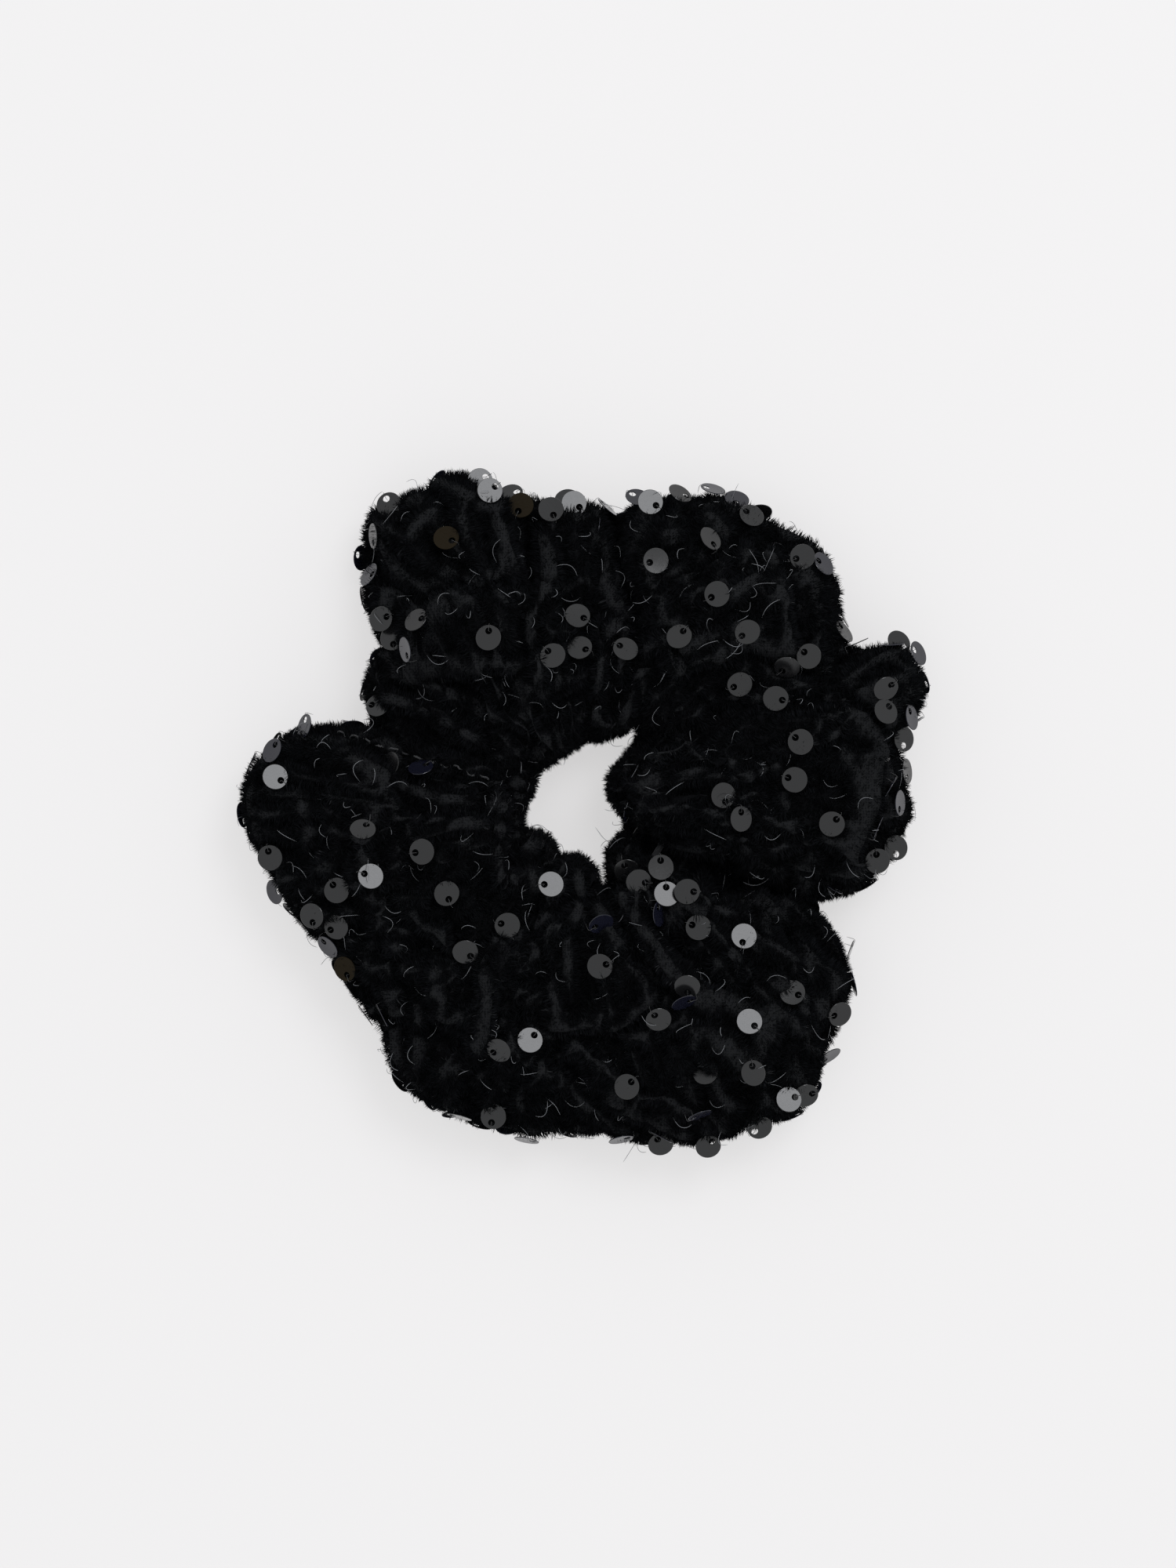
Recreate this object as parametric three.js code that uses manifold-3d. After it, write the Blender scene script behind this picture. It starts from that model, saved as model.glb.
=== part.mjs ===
// Sequinned velvet scrunchie lying flat: a gathered fabric casing round a flat
// elastic loop, with loose round sequins sewn over it. Millimetres, +Z up, the
// table is Z = 0 and the origin is under the middle of the whole scrunchie.
//
// The casing is one continuous ring of cloth. It is held here as two halves that
// meet on a plane through the middle of the hole, so that one side can be pulled
// away from the other as two fingers stretch it.

import * as THREE from 'three';
import { mergeVertices } from 'three/addons/utils/BufferGeometryUtils.js';
import Module from 'manifold-3d';

const wasm = await Module();
wasm.setup();

// ---------------------------------------------------------------- sizes, in mm

const casing_radius = 64; // hole centre to the outer rim of a typical puff
const casing_height = 30; // top of the tallest puff above the table
const hole_radius = 9; // hole centre to the gathered edge
const casing_flat = 0.12; // share of the height that is pressed flat on the table
const side_split_gap = 0.3; // between the two halves of the casing

const elastic_inset = 10; // gathered edge of the hole to the middle of the elastic
const elastic_width = 7;
const elastic_thickness = 1.2;
const elastic_overlap = 10; // length where its two ends are laid together
const elastic_lap_gap = 0.3;
const elastic_lap_angle = 200; // degrees round the ring

const thread_radius = 0.3;
const thread_clearance = 0.35;
const tack_turns = 4;
const tack_corner = 0.6;

const tunnel_floor = 4.8; // cloth between the table and the elastic's tunnel
const tunnel_clearance = 0.4; // tunnel wall to the nearest thread
const pinch_cover = 4; // cloth over the tunnel where the casing is pinched lowest

const seam_waves = 16; // long seam's thread, snaking round the tunnel floor
const seam_wave_width = 0.7;
const seam_open_angle = 12; // degrees between its two loose ends

const closing_angle = 166; // degrees, where the strip's two ends are sewn together
const closing_waves = 9;
const closing_wave_width = 0.5;
const closing_from = 0.14; // share of the way from the hole to the rim
const closing_to = 0.9;

const sequin_diameter = 5;
const sequin_thickness = 0.3;
const sequin_hole = 1.2;
const sequin_hole_offset = 1.2; // hole centre from the sequin's centre
const sequin_clearance = 0.35; // sequin to the cloth under it

const ring_steps = 90; // facets round the ring
const section_steps = 18; // facets round the tube
const disc_sides = 14;
const thread_sides = 6;

// The puffs, as [angle in degrees, rim beyond casing_radius, hole edge beyond
// hole_radius, share of the way from the lowest pinch to casing_height].
const puffs = [
  [0, 1, -1, 0.7],
  [15, 5.5, -1, 0.9],
  [22, 7, -1, 0.65],
  [30, -3, -0.8, 0.2],
  [45, 4.5, -0.4, 0.8],
  [62, 2.5, 0, 0.9],
  [76, -3.5, 0, 0.55],
  [85, -6.5, -0.4, 0],
  [99, -3.5, -0.4, 0.65],
  [109, 4, -0.4, 0.85],
  [125, 5.5, -0.2, 0.7],
  [135, -6, -0.2, 0.1],
  [147, -15.5, 0, 0.25],
  [160, -20, 0.2, 0],
  [170, -4.5, 0.4, 0.6],
  [182, 1.2, 0.8, 0.9],
  [196, -2.5, 1.2, 0.9],
  [214, -7, 1.4, 0.7],
  [233, -1.5, 0.5, 0.85],
  [250, 3, 1.4, 1],
  [270, 1.5, 1, 0.6],
  [284, 5.5, 1.5, 0.8],
  [298, 10.5, 2, 1],
  [312, 7, 1.4, 1],
  [324, 0.5, 0.8, 0.7],
  [334, -14.5, -0.4, 0],
  [343, -6, -0.8, 0.55],
  [352, 0.5, -1, 0.8],
];

// Where the larger sequins lie, as [angle round the ring in degrees, share of the
// way from the hole to the rim].
const sequin_places = [
  [3, 0.34], [5.5, 0.59], [14, 0.93], [14.5, 0.60], [21, 0.87], [26.5, 0.63],
  [34, 0.76], [37, 0.55], [43.5, 0.63], [48.5, 0.93], [56, 0.66], [56, 0.47],
  [63.5, 0.81], [71.5, 0.74], [71.5, 0.40], [99, 0.36], [101, 0.93], [106.5, 0.92],
  [116.5, 0.77], [118, 0.43], [136, 0.70], [136, 0.86], [173.5, 0.39], [176.5, 0.91],
  [186, 0.57], [198.5, 0.41], [200.5, 0.65], [201, 0.78], [203.5, 0.92], [216.5, 0.44],
  [216.5, 0.93], [232.5, 0.49], [240, 0.32], [251.5, 0.14], [258.5, 0.67], [279, 0.38],
  [280.5, 0.79], [291, 0.53], [292, 0.21], [295.5, 0.77], [302, 0.81], [305, 0.43],
  [307.5, 0.70], [308.5, 0.09], [312, 0.25], [313.5, 0.40], [317.5, 0.79], [319.5, 0.55],
  [355, 0.73], [359.5, 0.93],
];

// -------------------------------------------- places that follow from those sizes

const degree = Math.PI / 180;

const elastic_radius = hole_radius + elastic_inset;
const lap_rise = elastic_thickness + elastic_lap_gap;
const lap_angle = elastic_overlap / elastic_radius / degree;
const lap_middle = elastic_radius + lap_rise / 2;
const tack_half_thickness = (elastic_thickness + lap_rise) / 2 + thread_clearance + thread_radius;
const tack_half_width = elastic_width / 2 + thread_clearance + thread_radius;

// From the table up: tunnel floor, long seam's thread, elastic, tunnel roof, cloth.
const seam_level = tunnel_floor + tunnel_clearance + thread_radius;
const elastic_level = seam_level + 2 * thread_radius + thread_clearance + tack_half_width;
const tunnel_roof = elastic_level + tack_half_width + thread_radius + tunnel_clearance;
const pinch_height = tunnel_roof + pinch_cover;

// ------------------------------------------------------------ shape of the casing

// Smooth value of one column of the puffs at an angle, through every row.
function puffValue(angle, column) {
  const turn = ((angle % 360) + 360) % 360;
  const count = puffs.length;
  const last = puffs.findLastIndex((row) => row[0] <= turn);
  const rowAt = (step) => {
    const index = last + step;
    const wrapped = ((index % count) + count) % count;
    return [puffs[wrapped][0] + 360 * Math.floor(index / count), puffs[wrapped][column]];
  };
  const [before, start, end, after] = [rowAt(-1), rowAt(0), rowAt(1), rowAt(2)];
  const span = end[0] - start[0];
  const slopeIn = ((end[1] - before[1]) / (end[0] - before[0])) * span;
  const slopeOut = ((after[1] - start[1]) / (after[0] - start[0])) * span;
  const t = (turn - start[0]) / span;
  return (
    (2 * t ** 3 - 3 * t ** 2 + 1) * start[1]
    + (t ** 3 - 2 * t ** 2 + t) * slopeIn
    + (3 * t ** 2 - 2 * t ** 3) * end[1]
    + (t ** 3 - t ** 2) * slopeOut
  );
}

// The tube's cross-section at an angle: an oval whose underside is pressed flat.
function sectionAt(angle) {
  const rim = casing_radius + puffValue(angle, 1);
  const edge = hole_radius + puffValue(angle, 2);
  const height = pinch_height + puffValue(angle, 3) * (casing_height - pinch_height);
  const halfHeight = (height * (1 + casing_flat)) / 2;
  return {
    edge,
    rim,
    middle: (rim + edge) / 2,
    halfWidth: (rim - edge) / 2,
    halfHeight,
    level: height - halfHeight,
  };
}

function ringPoint(angle, radius, height) {
  return new THREE.Vector3(radius * Math.cos(angle * degree), radius * Math.sin(angle * degree), height);
}

// A point on the casing; turn runs round the tube from the rim over the top.
function casingPoint(angle, turn) {
  const s = sectionAt(angle);
  const radius = s.middle + s.halfWidth * Math.cos(turn);
  const height = Math.max(0, s.level + s.halfHeight * Math.sin(turn));
  return ringPoint(angle, radius, height);
}

// Height of the casing's top over a point of the table.
function casingTop(x, y) {
  const s = sectionAt(Math.atan2(y, x) / degree);
  const across = THREE.MathUtils.clamp((Math.hypot(x, y) - s.middle) / s.halfWidth, -1, 1);
  return s.level + s.halfHeight * Math.sqrt(1 - across ** 2);
}

// --------------------------------------------------------------- making of solids

function toSolid(geometry) {
  const bare = geometry.clone();
  bare.deleteAttribute('normal');
  bare.deleteAttribute('uv');
  const welded = mergeVertices(bare, 1e-4);
  return new wasm.Manifold(new wasm.Mesh({
    numProp: 3,
    vertProperties: new Float32Array(welded.attributes.position.array),
    triVerts: new Uint32Array(welded.index.array),
  }));
}

function toGeometry(solid) {
  const mesh = solid.getMesh();
  const geometry = new THREE.BufferGeometry();
  geometry.setAttribute('position', new THREE.BufferAttribute(mesh.vertProperties, 3));
  geometry.setIndex(new THREE.BufferAttribute(mesh.triVerts, 1));
  geometry.computeVertexNormals();
  return geometry;
}

function casingRing() {
  const positions = [];
  const faces = [];
  for (let i = 0; i < ring_steps; i += 1) {
    for (let j = 0; j < section_steps; j += 1) {
      const point = casingPoint((360 * i) / ring_steps, (2 * Math.PI * j) / section_steps);
      positions.push(point.x, point.y, point.z);
      const nextRing = ((i + 1) % ring_steps) * section_steps;
      const nextStep = (j + 1) % section_steps;
      const [a, b] = [i * section_steps + j, i * section_steps + nextStep];
      const [c, d] = [nextRing + j, nextRing + nextStep];
      faces.push(a, c, d, a, d, b);
    }
  }
  const geometry = new THREE.BufferGeometry();
  geometry.setAttribute('position', new THREE.Float32BufferAttribute(positions, 3));
  geometry.setIndex(faces);
  return geometry;
}

// A round thread along a list of points, with two free ends.
function thread(points, steps) {
  const outline = new THREE.Shape();
  outline.absarc(0, 0, thread_radius, 0, 2 * Math.PI);
  return new THREE.ExtrudeGeometry(outline, {
    steps,
    extrudePath: new THREE.CatmullRomCurve3(points),
    curveSegments: thread_sides / 2, // a whole turn takes twice as many
  });
}

// ----------------------------------------------------- elastic and hidden threads

// One flat strip, its last stretch stepping out to lie over its first.
function elasticBand() {
  const outline = new THREE.Shape();
  outline.moveTo(-elastic_width / 2, -elastic_thickness / 2);
  outline.lineTo(elastic_width / 2, -elastic_thickness / 2);
  outline.lineTo(elastic_width / 2, elastic_thickness / 2);
  outline.lineTo(-elastic_width / 2, elastic_thickness / 2);
  const points = [];
  const start = elastic_lap_angle - lap_angle / 2;
  const total = 360 + lap_angle;
  const count = 72;
  for (let i = 0; i <= count; i += 1) {
    const along = (total * i) / count;
    const rise = lap_rise * THREE.MathUtils.smoothstep(along, 360 - 1.2 * lap_angle, 360 - 0.2 * lap_angle);
    points.push(ringPoint(start + along, elastic_radius + rise, elastic_level));
  }
  return new THREE.ExtrudeGeometry(outline, {
    steps: count,
    extrudePath: new THREE.CatmullRomCurve3(points),
  });
}

// Thread wound round both layers where the elastic's ends lie together.
function elasticTack() {
  const corners = [
    [1, -1, 0, tack_corner], [1, 1, 0, -tack_corner], [1, 1, -tack_corner, 0], [-1, 1, tack_corner, 0],
    [-1, 1, 0, -tack_corner], [-1, -1, 0, tack_corner], [-1, -1, tack_corner, 0], [1, -1, -tack_corner, 0],
  ];
  const points = [];
  const spread = lap_angle * 0.5;
  const count = tack_turns * corners.length;
  for (let i = 0; i < count; i += 1) {
    const [outward, upward, dr, dz] = corners[i % corners.length];
    points.push(ringPoint(
      elastic_lap_angle + spread * (i / (count - 1) - 0.5),
      lap_middle + outward * tack_half_thickness + dr,
      elastic_level + upward * tack_half_width + dz,
    ));
  }
  return thread(points, count * 2);
}

function longSeamThread() {
  const points = [];
  const count = seam_waves * 5;
  for (let i = 0; i <= count; i += 1) {
    const along = seam_open_angle + (360 - 2 * seam_open_angle) * (i / count);
    const wave = seam_wave_width * Math.sin((2 * Math.PI * seam_waves * i) / count);
    points.push(ringPoint(elastic_lap_angle + along, elastic_radius + wave, seam_level));
  }
  return thread(points, count);
}

// The tunnel that the casing leaves for the elastic and its threads.
function elasticTunnel() {
  const inner = lap_middle - tack_half_thickness - thread_radius - tunnel_clearance;
  const outer = lap_middle + tack_half_thickness + thread_radius + tunnel_clearance;
  const corners = [[inner, tunnel_floor], [outer, tunnel_floor], [outer, tunnel_roof], [inner, tunnel_roof]];
  const profile = [...corners, corners[0]];
  const ring = new THREE.LatheGeometry(profile.map(([r, z]) => new THREE.Vector2(r, z)), 48);
  return ring.rotateX(Math.PI / 2);
}

// ---------------------------------------------------------------------- materials

function material(name, color, roughness) {
  return new THREE.MeshStandardMaterial({ name, color, roughness, metalness: 0 });
}

const finishes = {
  velvet: () => material('velvet', 0x0a0b0d, 1),
  elastic: () => material('elastic', 0x17171a, 0.9),
  thread: () => material('thread', 0x101013, 0.6),
  sequin: () => material('sequin', 0x3a3a3d, 0.15),
};

function piece(name, geometry, finish) {
  const mesh = new THREE.Mesh(geometry, finishes[finish]());
  mesh.name = name;
  return mesh;
}

// ------------------------------------------------------------------------ pieces

// One half of the casing: side is -1 for the held side and 1 for the pulled side.
function casingHalf(ring, side) {
  const size = 4 * (casing_radius + casing_height);
  const block = new THREE.BoxGeometry(size, size, size);
  block.translate(side * (size + side_split_gap) / 2, 0, 0);
  return toGeometry(ring.intersect(toSolid(block)));
}

// Stitches across the top of the tube where the strip's ends are joined.
function closingStitch() {
  const s = sectionAt(closing_angle);
  const points = [];
  const count = closing_waves * 4;
  for (let i = 0; i <= count; i += 1) {
    const share = closing_from + (closing_to - closing_from) * (i / count);
    const radius = s.edge + share * (s.rim - s.edge);
    const wave = closing_wave_width * Math.sin((2 * Math.PI * closing_waves * i) / count);
    const foot = ringPoint(closing_angle + wave / radius / degree, radius, 0);
    const seat = seatOnCasing(foot.x, foot.y, 2 * thread_radius);
    points.push(seat.centre.addScaledVector(seat.normal, thread_radius + thread_clearance));
  }
  return thread(points, count);
}

// The plane that rests on the casing over a point of the table: its centre is
// lifted along its normal until the cloth within reach is all beneath it.
function seatOnCasing(x, y, reach) {
  const slope = (dx, dy) => (casingTop(x + dx, y + dy) - casingTop(x - dx, y - dy)) / (2 * Math.hypot(dx, dy));
  const normal = new THREE.Vector3(-slope(reach / 2, 0), -slope(0, reach / 2), 1).normalize();
  const centre = new THREE.Vector3(x, y, clothHeight(x, y));
  let rise = 0;
  for (let ring = 1; ring <= 4; ring += 1) {
    for (let i = 0; i < 16; i += 1) {
      const turn = (2 * Math.PI * i) / 16;
      const [px, py] = [x + (reach * ring * Math.cos(turn)) / 4, y + (reach * ring * Math.sin(turn)) / 4];
      const point = new THREE.Vector3(px, py, clothHeight(px, py));
      rise = Math.max(rise, point.sub(centre).dot(normal));
    }
  }
  return { centre: centre.addScaledVector(normal, rise), normal };
}

function sequinShape() {
  const disc = new THREE.Shape();
  disc.absarc(0, 0, sequin_diameter / 2, 0, 2 * Math.PI);
  const eye = new THREE.Path();
  eye.absarc(sequin_hole_offset, 0, sequin_hole / 2, 0, 2 * Math.PI, true);
  disc.holes.push(eye);
  return new THREE.ExtrudeGeometry(disc, {
    depth: sequin_thickness,
    bevelEnabled: false,
    curveSegments: disc_sides / 2, // a whole turn takes twice as many
  });
}

function sequin(index, angle, share) {
  const s = sectionAt(angle);
  const foot = ringPoint(angle, s.edge + share * (s.rim - s.edge), 0);
  const seat = seatOnCasing(foot.x, foot.y, sequin_diameter / 2);
  const mesh = piece(`sequin_${String(index + 1).padStart(2, '0')}`, sequinShape(), 'sequin');
  mesh.position.copy(seat.centre.addScaledVector(seat.normal, sequin_clearance));
  const tilt = new THREE.Quaternion().setFromUnitVectors(new THREE.Vector3(0, 0, 1), seat.normal);
  const spin = new THREE.Quaternion().setFromAxisAngle(new THREE.Vector3(0, 0, 1), index * 137.5 * degree);
  mesh.quaternion.copy(tilt).multiply(spin);
  return mesh;
}

// --------------------------------------------------------------------- assembly

const casing = toSolid(casingRing()).subtract(toSolid(elasticTunnel()));
const facets = new THREE.Mesh(toGeometry(casing));
const downward = new THREE.Raycaster();

// Height of the faceted cloth over a point, found from above.
function clothHeight(x, y) {
  downward.set(new THREE.Vector3(x, y, 2 * casing_height), new THREE.Vector3(0, 0, -1));
  const hit = downward.intersectObject(facets)[0];
  return hit ? hit.point.z : 0;
}

const scrunchie = new THREE.Group();
scrunchie.add(
  piece('cover_left', casingHalf(casing, -1), 'velvet'),
  piece('cover_right', casingHalf(casing, 1), 'velvet'),
  piece('elastic_band', elasticBand(), 'elastic'),
  piece('elastic_tack', elasticTack(), 'thread'),
  piece('long_seam_thread', longSeamThread(), 'thread'),
  piece('closing_stitch', closingStitch(), 'thread'),
);
sequin_places.forEach(([angle, share], index) => scrunchie.add(sequin(index, angle, share)));

// The origin is set under the middle of the scrunchie's box.
const box = new THREE.Box3().setFromObject(scrunchie, true);
const middle = box.getCenter(new THREE.Vector3());
scrunchie.position.set(-middle.x, -middle.y, -box.min.z);
scrunchie.updateMatrixWorld(true);

export default scrunchie;
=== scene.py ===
"""Looks of a sequinned velvet scrunchie: a gathered casing of crushed black velvet
with its pile, loose round sequins on monofilament, the elastic and the seams inside.

Laid out as an add-on: each Operator below makes one piece or one group of pieces.
All lengths are in metres; a length written as a number times MM is in millimetres.
"""

import math

import bpy
import numpy as np
from bpy.props import FloatProperty, FloatVectorProperty, IntProperty, PointerProperty
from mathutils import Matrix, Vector
from mathutils.bvhtree import BVHTree


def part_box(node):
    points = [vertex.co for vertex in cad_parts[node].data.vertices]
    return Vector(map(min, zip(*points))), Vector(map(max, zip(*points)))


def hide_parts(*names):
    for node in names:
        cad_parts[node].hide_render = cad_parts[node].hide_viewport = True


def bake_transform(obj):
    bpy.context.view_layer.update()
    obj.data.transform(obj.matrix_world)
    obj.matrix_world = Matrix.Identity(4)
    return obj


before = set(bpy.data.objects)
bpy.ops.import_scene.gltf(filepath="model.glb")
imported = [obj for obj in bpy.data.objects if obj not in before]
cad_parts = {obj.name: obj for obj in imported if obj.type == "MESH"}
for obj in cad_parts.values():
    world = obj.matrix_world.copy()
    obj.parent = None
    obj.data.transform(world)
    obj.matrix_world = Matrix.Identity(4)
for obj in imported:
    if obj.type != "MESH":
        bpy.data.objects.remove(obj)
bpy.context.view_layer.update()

bl_info = {
    "name": "Sequinned velvet scrunchie",
    "version": (1, 0, 0),
    "blender": (4, 5, 0),
    "location": "3D View > Sidebar > Scrunchie",
    "description": "Makes a gathered velvet scrunchie with loose sequins",
    "category": "Add Mesh",
}

MM = 0.001
SEQUIN_NODES = sorted(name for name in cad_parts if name.startswith("sequin_"))


# ------------------------------------------------------------------ user's settings


class CasingSettings(bpy.types.PropertyGroup):
    """Sizes and colours of the velvet casing and its pile."""

    thickness: FloatProperty(
        name="Cloth thickness", description="Knitted back of the velvet, without its pile",
        default=0.5 * MM, min=0.1 * MM, unit="LENGTH")
    strip_width: FloatProperty(
        name="Strip width", description="Width that the casing was cut to",
        default=0.13, unit="LENGTH")
    strip_length: FloatProperty(
        name="Strip length", description="Length that the casing was cut to",
        default=0.46, unit="LENGTH")
    gather: FloatProperty(
        name="Gather", description="Extra cloth that the simulation buckles into wrinkles",
        default=0.26, min=0, max=0.6, subtype="FACTOR")
    pile_length: FloatProperty(
        name="Pile length", description="Length of a tuft of pile",
        default=1.55 * MM, unit="LENGTH")
    pile_width: FloatProperty(
        name="Tuft width", description="Width of a tuft of pile at its root",
        default=0.15 * MM, unit="LENGTH")
    tufts: IntProperty(
        name="Tufts", description="Tufts of pile in one swathe", default=66000, min=100)
    swathes: IntProperty(
        name="Swathes", description="Pieces that the pile is made in", default=8, min=1)
    colour: FloatVectorProperty(
        name="Velvet colour", description="Colour of the pile",
        default=(0.0035, 0.0037, 0.0042), size=3, subtype="COLOR")


class SequinSettings(bpy.types.PropertyGroup):
    """Sizes and colours of the sequins."""

    diameter: FloatProperty(
        name="Diameter", description="Across a sequin", default=5 * MM, unit="LENGTH")
    thickness: FloatProperty(
        name="Thickness", description="Thickness of the film", default=0.18 * MM, unit="LENGTH")
    hole: FloatProperty(
        name="Hole", description="Across the hole", default=1.35 * MM, unit="LENGTH")
    hole_offset: FloatProperty(
        name="Hole offset", description="From the sequin's centre to its hole's",
        default=1.3 * MM, unit="LENGTH")
    cup: FloatProperty(
        name="Cup", description="How far the middle is pressed in", default=0.04 * MM, unit="LENGTH")
    scattered: IntProperty(
        name="Scattered", description="Sequins beside the placed ones", default=100, min=0)
    colour: FloatVectorProperty(
        name="Sequin colour", description="Colour of the film",
        default=(0.006, 0.006, 0.0065), size=3, subtype="COLOR")


class ThreadSettings(bpy.types.PropertyGroup):
    """Sizes of the threads and of the elastic's ribs."""

    monofilament: FloatProperty(
        name="Monofilament", description="Across the clear thread", default=0.09 * MM, unit="LENGTH")
    sewing: FloatProperty(
        name="Sewing thread", description="Across the sewing thread", default=0.35 * MM,
        unit="LENGTH")
    loose_ends: IntProperty(
        name="Loose ends", description="Short ends of monofilament over the pile", default=460, min=0)
    ribs: IntProperty(
        name="Elastic ribs", description="Braided ribs across the elastic", default=7, min=1)


class StageSettings(bpy.types.PropertyGroup):
    """Floor, light and camera."""

    distance: FloatProperty(
        name="Camera distance", description="Camera above the scrunchie", default=0.855, unit="LENGTH")
    lens: FloatProperty(name="Lens", description="Focal length", default=100, unit="CAMERA")
    floor: FloatVectorProperty(
        name="Floor colour", description="Colour of the floor", default=(0.872, 0.861, 0.861),
        size=3, subtype="COLOR")


# ---------------------------------------------------------------- meshes and materials


def new_object(name, mesh, *materials):
    piece = bpy.data.objects.new(name, mesh)
    bpy.context.scene.collection.objects.link(piece)
    for material in materials:
        mesh.materials.append(material)
    return piece


def mesh_from_arrays(name, points, faces, smooth=True, material_index=None):
    """A mesh of faces that all have the same number of corners."""
    mesh = bpy.data.meshes.new(name)
    points = np.asarray(points, dtype=np.float32)
    faces = np.asarray(faces, dtype=np.int32)
    mesh.vertices.add(len(points))
    mesh.vertices.foreach_set("co", points.ravel())
    mesh.loops.add(faces.size)
    mesh.loops.foreach_set("vertex_index", faces.ravel())
    mesh.polygons.add(len(faces))
    mesh.polygons.foreach_set("loop_start", np.arange(0, faces.size, faces.shape[1], dtype=np.int32))
    mesh.polygons.foreach_set("use_smooth", np.full(len(faces), smooth))
    if material_index is not None:
        mesh.polygons.foreach_set("material_index", np.asarray(material_index, dtype=np.int32))
    mesh.update(calc_edges=True)
    return mesh


def ring_faces(rows, columns, closed_rows=True):
    """Quads of a grid of points whose rows may close on themselves."""
    index = np.arange(rows * columns).reshape(rows, columns)
    after = np.roll(index, -1, 0) if closed_rows else index[1:]
    before = index if closed_rows else index[:-1]
    corners = (before[:, :-1], after[:, :-1], after[:, 1:], before[:, 1:])
    return np.stack(corners, -1).reshape(-1, 4)


def unit(vectors):
    return vectors / np.maximum(np.linalg.norm(vectors, axis=-1, keepdims=True), 1e-12)


def smoothstep(x):
    x = np.clip(x, 0, 1)
    return x * x * (3 - 2 * x)


def soften(values, reach, axis):
    """Evens out values round a closed ring, over about reach steps."""
    turns = np.fft.rfftfreq(values.shape[axis]) * 2 * np.pi
    shape = [1] * values.ndim
    shape[axis] = len(turns)
    kept = np.exp(-0.5 * (turns * reach) ** 2).reshape(shape)
    return np.fft.irfft(np.fft.rfft(values, axis=axis) * kept, values.shape[axis], axis=axis)


# ------------------------------------------------------------ places taken from the frame


def ring_centre():
    low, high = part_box("long_seam_thread")
    return (low + high) / 2


def split_plane():
    """Where the two halves of the casing meet, along X."""
    return (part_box("cover_left")[1].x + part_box("cover_right")[0].x) / 2


def cover_tree():
    """Both halves of the CAD casing, closed over their gap, to cast rays at."""
    cut, gap = split_plane(), 0.2 * MM
    points, faces = [], []
    for name in ("cover_left", "cover_right"):
        mesh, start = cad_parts[name].data, len(points)
        points += [(cut if abs(v.co.x - cut) < gap else v.co.x, v.co.y, v.co.z) for v in mesh.vertices]
        faces += [[start + i for i in polygon.vertices] for polygon in mesh.polygons]
    return BVHTree.FromPolygons(points, faces)


def blend_over_joint(piece):
    """Moves the piece's transform into its mesh."""
    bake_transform(piece)


def blend_rigidly(piece):
    """Moves the piece's transform into its mesh, as blend_over_joint does, and gives the piece back."""
    blend_over_joint(piece)
    return piece


# --------------------------------------------------------------------------- casing

RING_STEPS, TUBE_STEPS = 320, 84  # of the simulated cloth
FINE_RING_STEPS, FINE_TUBE_STEPS = 600, 126  # of the finished cloth
HUB_HEIGHT = 11 * MM  # of the line that the tube's sections are read from
SEAM_TURN = math.radians(198)  # round the tube from the rim: just under the hole's edge
SEAM_OPENING = 0.1  # half the slit at the long seam, in radians
SEAM_ALLOWANCE = 6 * MM
FLAP_STEPS = 3  # columns of each turned-in edge
CLOSING_STITCHES = 13

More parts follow.
